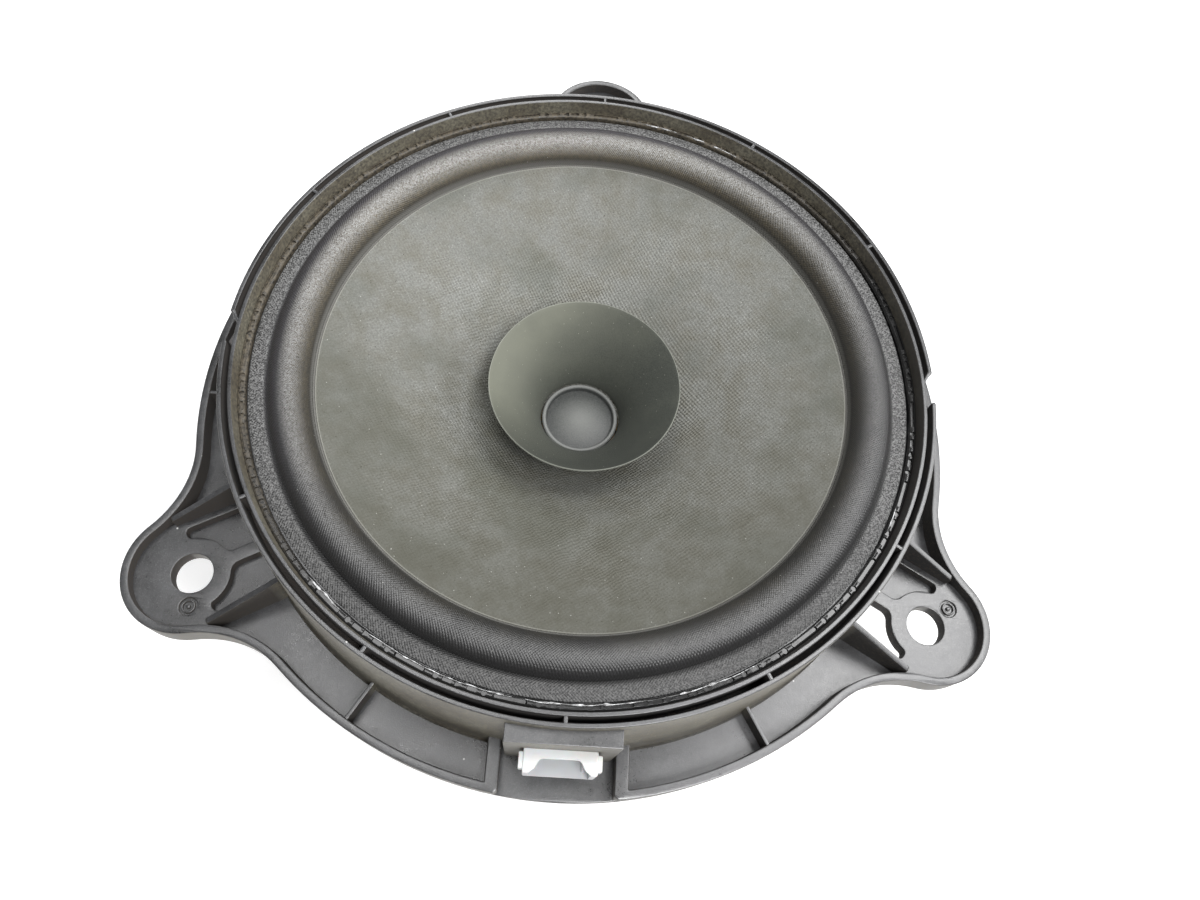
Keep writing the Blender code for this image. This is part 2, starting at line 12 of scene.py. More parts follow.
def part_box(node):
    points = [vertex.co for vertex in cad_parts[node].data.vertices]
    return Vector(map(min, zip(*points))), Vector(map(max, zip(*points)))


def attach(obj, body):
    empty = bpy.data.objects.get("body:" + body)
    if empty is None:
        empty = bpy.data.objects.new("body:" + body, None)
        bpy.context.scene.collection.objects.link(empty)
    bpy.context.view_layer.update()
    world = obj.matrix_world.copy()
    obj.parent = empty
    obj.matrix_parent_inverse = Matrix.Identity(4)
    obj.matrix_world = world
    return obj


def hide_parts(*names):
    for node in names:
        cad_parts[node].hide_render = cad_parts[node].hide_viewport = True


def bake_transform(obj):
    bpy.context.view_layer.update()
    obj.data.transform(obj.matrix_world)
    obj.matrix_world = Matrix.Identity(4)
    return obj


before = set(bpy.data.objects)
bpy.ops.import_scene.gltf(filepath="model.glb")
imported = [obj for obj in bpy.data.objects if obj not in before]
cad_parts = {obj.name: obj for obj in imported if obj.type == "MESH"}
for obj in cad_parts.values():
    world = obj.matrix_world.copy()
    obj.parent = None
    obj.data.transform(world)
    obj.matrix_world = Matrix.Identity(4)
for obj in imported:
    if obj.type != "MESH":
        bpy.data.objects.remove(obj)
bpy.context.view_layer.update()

MM = 0.001
FRAME = "frame"
MOVING = "cone_assembly"
STEPS = 192  # round the larger turned pieces
FINE_STEPS = 288
SMALL_STEPS = 96


def low_of(node):
    return [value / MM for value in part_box(node)[0]]


def high_of(node):
    return [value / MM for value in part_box(node)[1]]


# Heights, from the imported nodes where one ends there
RIM_Z = high_of("basket")[2]
MOTOR_SEAT_Z = low_of("basket")[2]
SEAT_Z = RIM_Z - 5.0
CHANNEL_FLOOR_Z = RIM_Z - 7.5
LIP_Z = RIM_Z - 24.8
EAR_FLOOR_Z = LIP_Z - 3.0
TRAY_FLOOR_Z = LIP_Z - 5.5
FLANGE_BACK_Z = LIP_Z - 7.0
GUSSET_Z = LIP_Z + 6.5

# Basket
RIM_R = 80.0
RIM_WALL = 0.9
CHANNEL_R = (80.9, 82.1)
OUTER_WALL_R = 83.1
WALL_FOOT_R = 84.6
SEAT_R = 73.6
CUP_R = 36.5
CUP_BORE_R = 33.5
CUP_TOP_Z = 33.0
MOTOR_SEAT = 2.2
MOTOR_SEAT_BORE_R = 22.0
WINDOW_R = (42.5, 75.0)
SPOKE_COUNT = 6
SPOKE_HALF = 6.0
RIM_GAP_ANGLES = (0.0, 180.0)
RIM_GAP = 8.6
RIM_GAP_Z = RIM_Z - 10.0
FLANGE_R = 95.3
EAR_PITCH_R = 101.1
EAR_R = 14.8
EAR_FLOOR_R = 12.6
EAR_HOLE_R = 4.65
EAR_BOSS_R = 8.7
EAR_ANGLES = (90.0, 210.0, 330.0)
FILLET_R = 25.0
LIP_WALL = 1.9
EAR_RIB_HALF = 1.6
EAR_EDGE = 1.6
POCKET_R = 85.0
OPEN_POCKET = (330.0, -1)
GUSSET_WALL = 1.4
TRAY_RIB = 0.85
TRAY_RIB_ANGLES = (240.0, 300.0, 182.9, 177.5, 2.5, -2.9, 24.0, 46.0, 68.0, 112.0, 134.0, 156.0)
BAY_HALF = 12.6
BAY_WALL = 3.0
BOX_HALF = 11.9
BOX_FRONT_Y = -86.1
BOX_TOP_Z = RIM_Z - 2.8
MARK_WELL_R = 2.0
MARK_RING_R = (1.6, 1.15)
MARK_DOT_R = 0.5

# What the basket makes room for
HOUSING_HALF = 7.7
HOUSING_GAP = 0.15
RIVET_PITCH_R = 28.0
RIVET_COUNT = 4
RIVET_HOLE_R = 2.0
RIVET_SHANK_R = 1.6

# Edges of the moulding
SOFT_EDGE = 0.35
FINE_EDGE = 0.22


# ---------------------------------------------------------------- shapes


def polar(radius, degrees, centre=(0.0, 0.0)):
    angle = math.radians(degrees)
    return (centre[0] + radius * math.cos(angle), centre[1] + radius * math.sin(angle))


def around(radius, angle, height):
    """A point at a distance from the axis, at an angle in radians and a height."""
    return (radius * math.cos(angle), radius * math.sin(angle), height)


def arc(radius, start, end, count, centre=(0.0, 0.0)):
    """Points on an arc, both ends included."""
    return [polar(radius, start + (end - start) * i / (count - 1), centre) for i in range(count)]


def about_axis(degrees):
    return Matrix.Rotation(math.radians(degrees), 4, "Z")


UPRIGHT = Matrix.Rotation(math.radians(90), 4, "X")


def rounded(points, radius=0.0, count=4):
    """A closed outline with its corners rounded. A point's third value is its own radius."""
    outline = []
    for index, corner in enumerate(points):
        here = Vector(corner[:2])
        back = Vector(points[index - 1][:2]) - here
        ahead = Vector(points[(index + 1) % len(points)][:2]) - here
        size = corner[2] if len(corner) > 2 else radius
        opening = back.angle(ahead)
        if size <= 0 or opening > math.radians(176):
            outline.append(tuple(here))
            continue
        reach = min(size / math.tan(opening / 2), 0.48 * back.length, 0.48 * ahead.length)
        size = reach * math.tan(opening / 2)
        middle = (back.normalized() + ahead.normalized()).normalized()
        centre = here + middle * (size / math.sin(opening / 2))
        start = here + back.normalized() * reach - centre
        end = here + ahead.normalized() * reach - centre
        first = math.atan2(start.y, start.x)
        turn = math.atan2(start.x * end.y - start.y * end.x, start.dot(end))
        for step in range(count + 1):
            angle = first + turn * step / count
            outline.append((centre.x + size * math.cos(angle), centre.y + size * math.sin(angle)))
    return outline


def new_object(name, work, smooth_angle=40.0):
    """An object from a bmesh in millimetres."""
    bmesh.ops.remove_doubles(work, verts=work.verts, dist=0.0005)
    bmesh.ops.recalc_face_normals(work, faces=work.faces)
    bmesh.ops.scale(work, vec=(MM, MM, MM), verts=work.verts)
    mesh = bpy.data.meshes.new(name)
    work.to_mesh(mesh)
    work.free()
    mesh.shade_smooth()
    mesh.set_sharp_from_angle(angle=math.radians(smooth_angle))
    obj = bpy.data.objects.new(name, mesh)
    bpy.context.scene.collection.objects.link(obj)
    return obj


def join_rings(work, rings, closed=True):
    """Faces between each ring of vertices and the next one."""
    count = len(rings[0])
    for near, far in zip(rings, rings[1:]):
        for index in range(count if closed else count - 1):
            after = (index + 1) % count
            work.faces.new((near[index], far[index], far[after], near[after]))


def add_tube(work, rings):
    """Joins rings of vertices into a tube with both ends closed."""
    join_rings(work, rings)
    work.faces.new(rings[0])
    work.faces.new(rings[-1][::-1])


def revolved(name, section, steps=STEPS, bend=None, smooth_angle=40.0):
    """A turned piece. Its section is an outline of (radius, height), closed or with both ends on the axis.
    bend(radius, height, angle) moves a point of it."""
    on_axis = abs(section[0][0]) < 1e-6 and abs(section[-1][0]) < 1e-6
    work = bmesh.new()
    rings = []
    for step in range(steps):
        angle = 2 * math.pi * step / steps
        ring = []
        for radius, height in section:
            if bend:
                radius, height = bend(radius, height, angle)
            ring.append(work.verts.new(around(radius, angle, height)))
        rings.append(ring)
    join_rings(work, rings + rings[:1], closed=not on_axis)
    return new_object(name, work, smooth_angle)


def plate(name, outlines, low, high, edge=SOFT_EDGE, matrix=None):
    """A plate between two heights with rounded edges. The outlines after the first are holes in it."""
    curve = bpy.data.curves.new(name, "CURVE")
    curve.dimensions = "2D"
    curve.fill_mode = "BOTH"
    curve.extrude = ((high - low) / 2 - edge) * MM
    curve.bevel_depth = edge * MM
    curve.bevel_resolution = 1
    curve.offset = -edge * MM
    for outline in outlines:
        spline = curve.splines.new("POLY")
        spline.points.add(len(outline) - 1)
        for point, (x, y) in zip(spline.points, outline):
            point.co = (x * MM, y * MM, 0.0, 1.0)
        spline.use_cyclic_u = True
    drawn = bpy.data.objects.new(name, curve)
    bpy.context.scene.collection.objects.link(drawn)
    bpy.context.view_layer.update()
    evaluated = drawn.evaluated_get(bpy.context.evaluated_depsgraph_get())
    mesh = bpy.data.meshes.new_from_object(evaluated)
    bpy.data.objects.remove(drawn)
    bpy.data.curves.remove(curve)
    work = bmesh.new()
    work.from_mesh(mesh)
    bpy.data.meshes.remove(mesh)
    bmesh.ops.scale(work, vec=(1 / MM, 1 / MM, 1 / MM), verts=work.verts)
    bmesh.ops.translate(work, vec=(0.0, 0.0, (low + high) / 2), verts=work.verts)
    if matrix:
        bmesh.ops.transform(work, matrix=matrix, verts=work.verts)
    return new_object(name, work)


def middle_of(low, high):
    return [(a + b) / 2 for a, b in zip(low, high)]


def new_box(low, high):
    """A bmesh of a box between two corners."""
    work = bmesh.new()
    bmesh.ops.create_cube(work, size=1.0)
    bmesh.ops.scale(work, vec=[b - a for a, b in zip(low, high)], verts=work.verts)
    bmesh.ops.translate(work, vec=middle_of(low, high), verts=work.verts)
    return work


def block(name, low, high, edge=SOFT_EDGE, matrix=None):
    """A box between two corners with rounded edges."""
    work = new_box(low, high)
    if edge:
        bmesh.ops.bevel(work, geom=work.edges[:], offset=edge, segments=2, profile=0.5, affect="EDGES")
    if matrix:
        bmesh.ops.transform(work, matrix=matrix, verts=work.verts)
    return new_object(name, work)


def rod(name, centre, radius, low, high, edge=0.0, sides=32):
    """An upright round bar."""
    return plate(name, [arc(radius, 0, 360 - 360 / sides, sides, centre)], low, high, edge)


def carved(base, joined=(), cut=()):
    """The base with pieces joined to it and others cut from it, as one closed mesh."""
    for tools, operation in ((joined, "UNION"), (cut, "DIFFERENCE")):
        for tool in tools:
            step = base.modifiers.new(tool.name, "BOOLEAN")
            step.operation = operation
            step.solver = "MANIFOLD"
            step.object = tool
    bpy.context.view_layer.update()
    evaluated = base.evaluated_get(bpy.context.evaluated_depsgraph_get())
    mesh = bpy.data.meshes.new_from_object(evaluated)
    base.modifiers.clear()
    base.data = mesh
    for tool in (*joined, *cut):
        bpy.data.objects.remove(tool)
    mesh.shade_smooth()
    mesh.set_sharp_from_angle(angle=math.radians(40.0))
    return base


def combined(base, joined=(), cut=()):
    """What carved makes, shaded evenly over its large faces."""
    carved(base, joined, cut)
    even = base.modifiers.new("even_shading", "WEIGHTED_NORMAL")
    even.keep_sharp = True
    return base


# ---------------------------------------------------------------- basket


def flange_outline(inset):
    """The flange's edge, moved in by the inset: a circle with three round ears and hollow fillets."""
    flange, ear, fillet = FLANGE_R - inset, EAR_R - inset, FILLET_R + inset
    reach, side = flange + fillet, ear + fillet
    turn = math.degrees(math.acos((reach**2 + EAR_PITCH_R**2 - side**2) / (2 * reach * EAR_PITCH_R)))
    fillet_x, fillet_y = polar(reach, turn)
    lean = math.degrees(math.atan2(fillet_y, fillet_x - EAR_PITCH_R))
    points = []
    for angle in EAR_ANGLES:
        ear_centre = polar(EAR_PITCH_R, angle)
        points += arc(fillet, angle + 180 - turn, angle + 180 - lean, 14, polar(reach, angle - turn))
        points += arc(ear, angle - lean, angle + lean, 48, ear_centre)[1:-1]
        points += arc(fillet, angle + 180 + lean, angle + 180 + turn, 14, polar(reach, angle + turn))
        points += arc(flange, angle + turn, angle + 120 - turn, 48)[1:-1]
    return points


def ear_point(angle, outward, across):
    """A point given along and across an ear's centre line."""
    x, y = polar(1.0, angle)
    return (outward * x - across * y, outward * y + across * x)


def ear_shape(angle, radius, inner):
    """A half circle about the ear's hole, with straight sides towards the axis."""
    outer = [(EAR_PITCH_R + x, y) for x, y in arc(radius, -90, 90, 40)]
    return [ear_point(angle, u, w) for u, w in [*outer, (inner, radius), (inner, -radius)]]


def pocket(angle, side, grow=0.0):
    """The pocket between an ear's boss, its centre rib, its edge strip and the basket wall."""
    boss, rib, edge = EAR_BOSS_R - grow, EAR_RIB_HALF - grow, EAR_FLOOR_R - EAR_EDGE + grow
    root = 2.4  # radius between the boss and the rib
    root_w = rib + root
    root_u = -math.sqrt((boss + root) ** 2 - root_w**2)
    root_end = math.degrees(math.atan2(-root_w, -root_u))
    boss_start = math.degrees(math.atan2(root_w, root_u))
    tip = -EAR_EDGE + grow
    boss_end = math.degrees(math.acos(tip / boss))
    wall = POCKET_R - grow
    outline = [(math.sqrt(wall**2 - rib**2) - EAR_PITCH_R, rib, 0.6)]
    outline += arc(root, -90, root_end, 8, (root_u, root_w))
    outline += arc(boss, boss_start, boss_end + 10.0, 12)[1:] + [(*polar(boss, boss_end), 1.1)]
    outline += [(tip, edge, 1.3), (math.sqrt(wall**2 - edge**2) - EAR_PITCH_R, edge, 0.9)]
    outline += [(math.sqrt(wall**2 - w**2) - EAR_PITCH_R, w) for w in np.linspace(edge, rib, 6)[1:-1]]
    if side < 0:
        outline = [(u, -w, *rest) for u, w, *rest in outline]
    return [ear_point(angle, EAR_PITCH_R + u, w) for u, w in rounded(outline)]


def ear_hole(angle, radius):
    return arc(radius, 0, 352.5, 48, polar(EAR_PITCH_R, angle))


def upper_section():
    """Rim, channel, outer wall and the outer end of the bowl."""
    channel_in, channel_out = CHANNEL_R
    return rounded([
        (OUTER_WALL_R, RIM_Z, 0.3),
        (WALL_FOOT_R - 0.05, TRAY_FLOOR_Z + 0.7, 0.6),
        (WALL_FOOT_R + 0.6, TRAY_FLOOR_Z - 0.15, 0),
        (WALL_FOOT_R - 0.2, FLANGE_BACK_Z + 0.7, 0),
        (81.0, FLANGE_BACK_Z - 0.45, 0.8),
        (79.0, FLANGE_BACK_Z - 0.8, 0.8),
        (WINDOW_R[1], FLANGE_BACK_Z - 2.06, 0.7),
        (WINDOW_R[1], FLANGE_BACK_Z + 0.34, 0.7),
        (78.6, TRAY_FLOOR_Z - 0.1, 1.5),
        (81.8, TRAY_FLOOR_Z + 2.8, 1.5),
        (80.8, SEAT_Z - 4.0, 1.0),
        (SEAT_R + 0.6, SEAT_Z - 2.2, 0.5),
        (SEAT_R, SEAT_Z - 1.2, 0.4),
        (SEAT_R, SEAT_Z, 0.3),
        (RIM_R - 0.7, SEAT_Z, 0.5),
        (RIM_R, RIM_Z, 0.2),
        (channel_in, RIM_Z, 0.25),
        (channel_in, CHANNEL_FLOOR_Z, 0.3),
        (channel_out, CHANNEL_FLOOR_Z, 0.3),
        (channel_out, RIM_Z, 0.25),
    ])


def lower_section():
    """The cup round the motor and the inner end of the bowl."""
    seat_top = MOTOR_SEAT_Z + MOTOR_SEAT
    return rounded([
        (WINDOW_R[0], 30.99, 0.7),
        (WINDOW_R[0], 27.91, 0.7),
        (CUP_R + 5.0, 27.6, 1.5),
        (CUP_R, MOTOR_SEAT_Z + 1.8, 1.2),
        (CUP_R, MOTOR_SEAT_Z, 0.4),
        (MOTOR_SEAT_BORE_R, MOTOR_SEAT_Z, 0.3),
        (MOTOR_SEAT_BORE_R, seat_top, 0.4),
        (CUP_BORE_R, seat_top, 0.8),
        (CUP_BORE_R, CUP_TOP_Z, 0.4),
        (CUP_R, CUP_TOP_Z, 0.5),
        (CUP_R + 4.0, 30.4, 1.5),
    ])


def spoke(number, angle):
    """One arm of the bowl, with its rib."""
    matrix = about_axis(angle) @ UPRIGHT
    arm = [(39.0, 27.2), (79.6, FLANGE_BACK_Z - 0.62), (79.4, TRAY_FLOOR_Z + 0.1), (39.0, 30.3)]
    inside = CUP_R - 1.0
    below = [(inside, 26.0), (CUP_R + 5.0, 25.6), (79.5, 37.0)]
    rib = rounded([*below, (83.0, 41.0), (60.0, 37.0), (inside, 32.0)], 0.8)
    return [
        plate(f"arm_{number}", [arm], -SPOKE_HALF, SPOKE_HALF, 0.6, matrix),
        plate(f"arm_rib_{number}", [rib], -1.0, 1.0, 0.4, matrix),
    ]


def gusset(angle, side):
    """A wall along one side of an ear, rising from the flange's lip to the basket wall."""
    inner, foot = WALL_FOOT_R - 1.6, FLANGE_BACK_Z + 0.5
    outline = [(inner, foot), (EAR_PITCH_R, foot), (EAR_PITCH_R, LIP_Z, 0.8), (inner, GUSSET_Z)]
    low, high = sorted((-side * EAR_FLOOR_R, -side * (EAR_FLOOR_R + GUSSET_WALL)))
    return plate("gusset", [rounded(outline)], low, high, 0.3, about_axis(angle) @ UPRIGHT)


def mark_centre(angle):
    return ear_point(angle, EAR_PITCH_R + 3.1, 7.2)


def mould_mark(angle):
    """The round mark of a mould insert beside an ear's hole: a ring and a dot in a shallow well."""
    centre = mark_centre(angle)
    ring = [arc(radius, 0, 345, 24, centre) for radius in MARK_RING_R]
    low, high = EAR_FLOOR_Z - 0.9, EAR_FLOOR_Z + 0.1
    well = rod("mark_well", centre, MARK_WELL_R + 0.1, EAR_FLOOR_Z - 1.2, EAR_FLOOR_Z - 0.5, 0.0)
    dot = rod("mark_dot", centre, MARK_DOT_R, low, high, 0.1, 16)
    return [well, plate("mark_ring", ring, low, high, 0.1), dot]


def ear(angle):
    """An ear's plate with its hole and pockets, its two gussets and its mould mark."""
    shape = ear_shape(angle, EAR_FLOOR_R + 0.8, WALL_FOOT_R - 1.4)
    mark_well = arc(MARK_WELL_R, 0, 350, 36, mark_centre(angle))
    holes = [ear_hole(angle, EAR_HOLE_R), mark_well, pocket(angle, 1), pocket(angle, -1)]
    floor = plate("ear_floor", [shape, *holes], FLANGE_BACK_Z + 0.55, EAR_FLOOR_Z, 0.3)
    return [floor, gusset(angle, 1), gusset(angle, -1), *mould_mark(angle)]


def radial_block(name, angle, inner, outer, width, low, high, edge=FINE_EDGE):
    size = (inner, -width / 2, low), (outer, width / 2, high)
    return block(name, *size, edge, about_axis(angle))


def flange_parts():
    """The flange's floor and lip, its three ears and the ribs across its tray."""
    inner = arc(82.0, 0, 358.125, STEPS)
    floor_holes = [ear_hole(angle, EAR_HOLE_R + 0.06) for angle in EAR_ANGLES]
    floor_holes.append(pocket(*OPEN_POCKET, grow=0.06))
    outlines = [flange_outline(0.02), inner, *floor_holes]
    floor = plate("flange_floor", outlines, FLANGE_BACK_Z, TRAY_FLOOR_Z, 0.3)
    lip_edges = [flange_outline(0.0), flange_outline(LIP_WALL)]
    lip = plate("flange_lip", lip_edges, FLANGE_BACK_Z + 0.25, LIP_Z, SOFT_EDGE)
    reach = BAY_HALF + 1.0
    opening = block("bay_front", (-reach, -100.0, TRAY_FLOOR_Z - 0.3), (reach, -90.0, LIP_Z + 2.0), 0)
    parts = [floor, carved(lip, cut=[opening])]
    for angle in EAR_ANGLES:
        parts += ear(angle)
    for angle in TRAY_RIB_ANGLES:
        size = (WALL_FOOT_R - 0.8, FLANGE_R - 1.0, TRAY_RIB, TRAY_FLOOR_Z - 0.5, LIP_Z - 0.3)
        parts.append(radial_block("tray_rib", angle, *size))
    return parts


def rim_parts():
    """The ribs across the rim's channel and, at each gap in the outer wall, its round ends and two webs."""
    channel_in, channel_out = CHANNEL_R
    middle = (channel_out + OUTER_WALL_R) / 2
    half_wall = (OUTER_WALL_R - channel_out) / 2
    root, bottom = channel_in - 0.4, RIM_GAP_Z - 1.0
    parts = []
    for angle in range(0, 360, 30):
        if angle not in RIM_GAP_ANGLES:
            size = (channel_in - 0.3, channel_out + 0.4, RIM_WALL, CHANNEL_FLOOR_Z - 0.5, RIM_Z - 0.12)
            parts.append(radial_block("rim_rib", angle, *size))
    turn = math.degrees(math.asin(RIM_GAP / 2 / middle))
    for angle in RIM_GAP_ANGLES:
        upward = 1 if angle == 0 else -1
        for side in (-1, 1):
            end = angle + side * turn
            size = (half_wall - 0.02, bottom, RIM_Z - 0.03, 0.25, 24)
            parts.append(rod("wall_end", polar(middle, end), *size))
        web = [(middle - 0.35, turn + 0.35), (middle + 0.3, turn), (root, turn - 2.6), (root, turn - 2.0)]
        web = [polar(radius, angle + upward * along) for radius, along in web]
        parts.append(plate("wall_return", [web], bottom, RIM_Z - 0.06, 0.1))
        wedge = [(root, 0.4), (root, -3.9), (channel_in + 0.9, -2.7)]
        wedge = [polar(radius, angle + upward * along) for radius, along in wedge]
        parts.append(plate("wall_wedge", [rounded(wedge, 0.2)], bottom, RIM_Z - 0.5, 0.1))
    return parts


def bay_parts():
    """The plug's bay: two side walls and the box that holds the socket."""
    outer = math.sqrt(FLANGE_R**2 - (BAY_HALF + BAY_WALL) ** 2) - 0.05
    corner = math.sqrt(FLANGE_R**2 - BAY_HALF**2) - 0.05
    far_side, back = BAY_HALF + BAY_WALL, -WALL_FOOT_R + 2.0
    outline = [(BAY_HALF, back), (BAY_HALF, -corner, 1.0), (far_side, -outer, 0.6), (far_side, back)]
    parts = []
    for side in (-1, 1):
        shape = rounded([(side * x, y, *rest) for x, y, *rest in outline])
        parts.append(plate("bay_wall", [shape], TRAY_FLOOR_Z - 0.6, LIP_Z - 0.02, SOFT_EDGE))
    low = (-BOX_HALF, BOX_FRONT_Y, TRAY_FLOOR_Z - 0.5)
    parts.append(block("socket_box", low, (BOX_HALF, -WALL_FOOT_R + 3.0, BOX_TOP_Z), 0.3))
    return parts


def rivet_holes(low, high):
    centres = [polar(RIVET_PITCH_R, 45.0 + 90.0 * number) for number in range(RIVET_COUNT)]
    return [rod("rivet_hole", centre, RIVET_HOLE_R, low, high) for centre in centres]


def make_basket():
    """The whole moulding in one mesh: rim, bowl, cup, flange with its ears, and the plug's bay."""
    size = (RIM_R + RIM_WALL + 0.01, 90.0, RIM_GAP, RIM_GAP_Z, RIM_Z + 5.0, 0)
    gaps = [radial_block("rim_gap", angle, *size) for angle in RIM_GAP_ANGLES]
    body = carved(revolved("moulded_basket", upper_section()), cut=gaps)
    parts = [revolved("cup", lower_section())]
    for number in range(SPOKE_COUNT):
        parts += spoke(number, 30.0 + 360.0 / SPOKE_COUNT * number)
    parts += flange_parts() + rim_parts() + bay_parts()
    low = low_of("socket_housing")[2] - HOUSING_GAP
    high = high_of("socket_housing")[2] + HOUSING_GAP
    reach = HOUSING_HALF + HOUSING_GAP
    hole = block("socket_hole", (-reach, -95.0, low), (reach, -70.0, high), 0)
    return combined(body, parts, [hole, *rivet_holes(20.0, 30.0)])


# ---------------------------------------------------------------- moving parts and suspension

SURROUND_R = 77.5
ROLL_R = (63.9, 73.4)
SURROUND_Z = SEAT_Z + 0.9
CREST_Z = RIM_Z - 0.5
SURROUND_SKIN = 0.6
DIMPLE_PITCH = 0.7
CONE_R = high_of("cone")[0]
CONE_EDGE_Z = high_of("cone")[2]
CONE_NECK_R = 10.4
CONE_NECK_Z = 38.6
CONE_SKIN = 0.5
CONE_BULGE = 2.2
WHIZZER_R = high_of("whizzer_cone")[0]
WHIZZER_Z = high_of("whizzer_cone")[2]
WHIZZER_NECK_Z = 40.4
WHIZZER_SKIN = 0.4
CAP_R = high_of("dust_cap")[0]
CAP_Z = 40.8
CAP_BASE_R = 8.75
CAP_STEP = 1.5
CAP_DOME = 1.3
SPIDER_R = (10.3, high_of("spider")[0])
SPIDER_Z = 33.9
SPIDER_WAVES = 5
SPIDER_HEIGHT = 1.1
SPIDER_SKIN = 0.5


def skin(line, thickness):
    """The closed section of a skin whose upper face is the line."""
    points = np.array(line)
    along = np.gradient(points, axis=0)
    along /= np.linalg.norm(along, axis=1)[:, None]
    across = np.column_stack([along[:, 1], -along[:, 0]])
    lower = points + across * thickness
    return [tuple(point) for point in points] + [tuple(point) for point in lower[::-1]]


def make_surround():
    """The rubber ring: a glued lip under the cone's edge, a small bead, the half roll and a flat flange."""
    inner, outer = ROLL_R
    middle, half = (inner + outer) / 2, (outer - inner) / 2
    low_in, low_out = CONE_EDGE_Z - 0.4, SURROUND_Z - 0.35
    lip_and_bead = [(-3.0, -1.9), (-1.5, -1.45), (-0.15, -0.9), (0.12, -0.35), (0.3, 0.02), (0.45, -0.05)]
    line = [(CONE_R + outward, CONE_EDGE_Z + up) for outward, up in lip_and_bead]
    count = 30
    for step in range(count + 1):
        part = step / count
        angle = math.pi * (1 - part)
        rise = (CREST_Z - (low_in + low_out) / 2) * math.sin(angle) ** 0.92
        line.append((middle + half * math.cos(angle), low_in + (low_out - low_in) * part + rise))
    line += [(outer + 0.3, SURROUND_Z - 0.3), (outer + 0.8, SURROUND_Z - 0.06), (outer + 1.3, SURROUND_Z)]
    line += [(SURROUND_R - 0.3, SURROUND_Z), (SURROUND_R, SURROUND_Z - 0.15)]
    piece = revolved("rubber_surround", skin(line, SURROUND_SKIN), FINE_STEPS, smooth_angle=60.0)
    flex(piece, CONE_R, outer)
    return piece


def flex(piece, moving_r, still_r):
    """Bakes the ring's placement into its mesh. It does not make the ring follow the cone inside one radius
    and the frame outside another.
    """
    still_r * MM
    moving_r * MM
    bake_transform(piece)
    for vertex in piece.data.vertices:
        part = (still_r - math.hypot(vertex.co.x, vertex.co.y) / MM) / (still_r - moving_r)
        part = min(max(part, 0.0), 1.0)
        part * part * (3 - 2 * part)


def make_cone():
    """The cone: slightly bulged, with a thin cut edge and an uneven surface."""
    line = []
    count = 40
    for step in range(count + 1):
        part = step / count
        height = CONE_NECK_Z + (CONE_EDGE_Z - CONE_NECK_Z) * part + CONE_BULGE * math.sin(math.pi * part)
        line.append((CONE_NECK_R + (CONE_R - CONE_NECK_R) * part, height))
    line[-1] = (CONE_R - 0.12, CONE_EDGE_Z - 0.16)
    line.append((CONE_R, CONE_EDGE_Z - 0.3))

    def pulp(radius, height, angle):
        spot = Vector(around(radius, angle, 0.0))
        return radius, height + 0.05 * noise.noise(spot * 0.12)

    return revolved("paper_cone", skin(line, CONE_SKIN), FINE_STEPS, pulp, 60.0)


def make_whizzer():
    """The small inner cone, flaring towards an uneven cut edge."""
    line = []
    count = 28
    for step in range(count + 1):
        part = step / count
        radius = CONE_NECK_R + (WHIZZER_R - 0.25 - CONE_NECK_R) * part**1.6
        line.append((radius, WHIZZER_NECK_Z + (WHIZZER_Z - 0.1 - WHIZZER_NECK_Z) * part))
    line += [(WHIZZER_R - 0.12, WHIZZER_Z - 0.02), (WHIZZER_R - 0.02, WHIZZER_Z - 0.1)]

    def cut_edge(radius, height, angle):
        rim = max(0.0, (height - WHIZZER_Z + 3.0) / 3.0)
        lean = noise.noise(Vector(around(2.0, angle, 3.0)))
        return radius - rim * 0.18 * abs(lean), height - rim * 0.08 * abs(lean)

    return revolved("whizzer", skin(line, WHIZZER_SKIN), STEPS, cut_edge, 60.0)


def make_dust_cap():
    """The cap: a low dome inside a raised rim."""
    base = CAP_Z - CAP_STEP
    section = [(0.0, base + CAP_DOME)]
    for step in range(1, 14):
        radius = CAP_BASE_R * step / 13
        section.append((radius, base + CAP_DOME * math.cos(math.pi / 2 * step / 13)))
    section += [(CAP_BASE_R + 0.15, CAP_Z - 0.25), (CAP_BASE_R + 0.4, CAP_Z - 0.02), (CAP_R - 0.3, CAP_Z)]
    section += [(CAP_R, CAP_Z - 0.3), (CAP_R, base - 0.3), (CAP_BASE_R, base - 0.3), (0.0, base - 0.25)]
    return revolved("cap", section, STEPS)


def make_spider():
    """The corrugated disc that centres the coil."""
    inner, outer = SPIDER_R
    start, end = inner + 2.0, outer - 3.0
    line = [(inner, SPIDER_Z), (inner + 1.0, SPIDER_Z)]
    count = SPIDER_WAVES * 10
    for step in range(count + 1):
        part = step / count
        fade = min(1.0, 6 * part, 6 * (1 - part))
        wave = SPIDER_HEIGHT * fade * math.sin(2 * math.pi * SPIDER_WAVES * part)
        line.append((start + (end - start) * part, SPIDER_Z - wave))
    line += [(outer - 1.0, SPIDER_Z), (outer, SPIDER_Z)]
    piece = revolved("woven_spider", skin(line, SPIDER_SKIN), STEPS, smooth_angle=60.0)
    flex(piece, start, end)
    return piece


def make_former():
    low, (outer, _, high) = low_of("voice_coil_former")[2], high_of("voice_coil_former")
    inner = outer - 0.25
    corners = [(outer, high), (outer, low), (inner, low), (inner, high)]
    return revolved("former", rounded(corners, 0.05, 2))


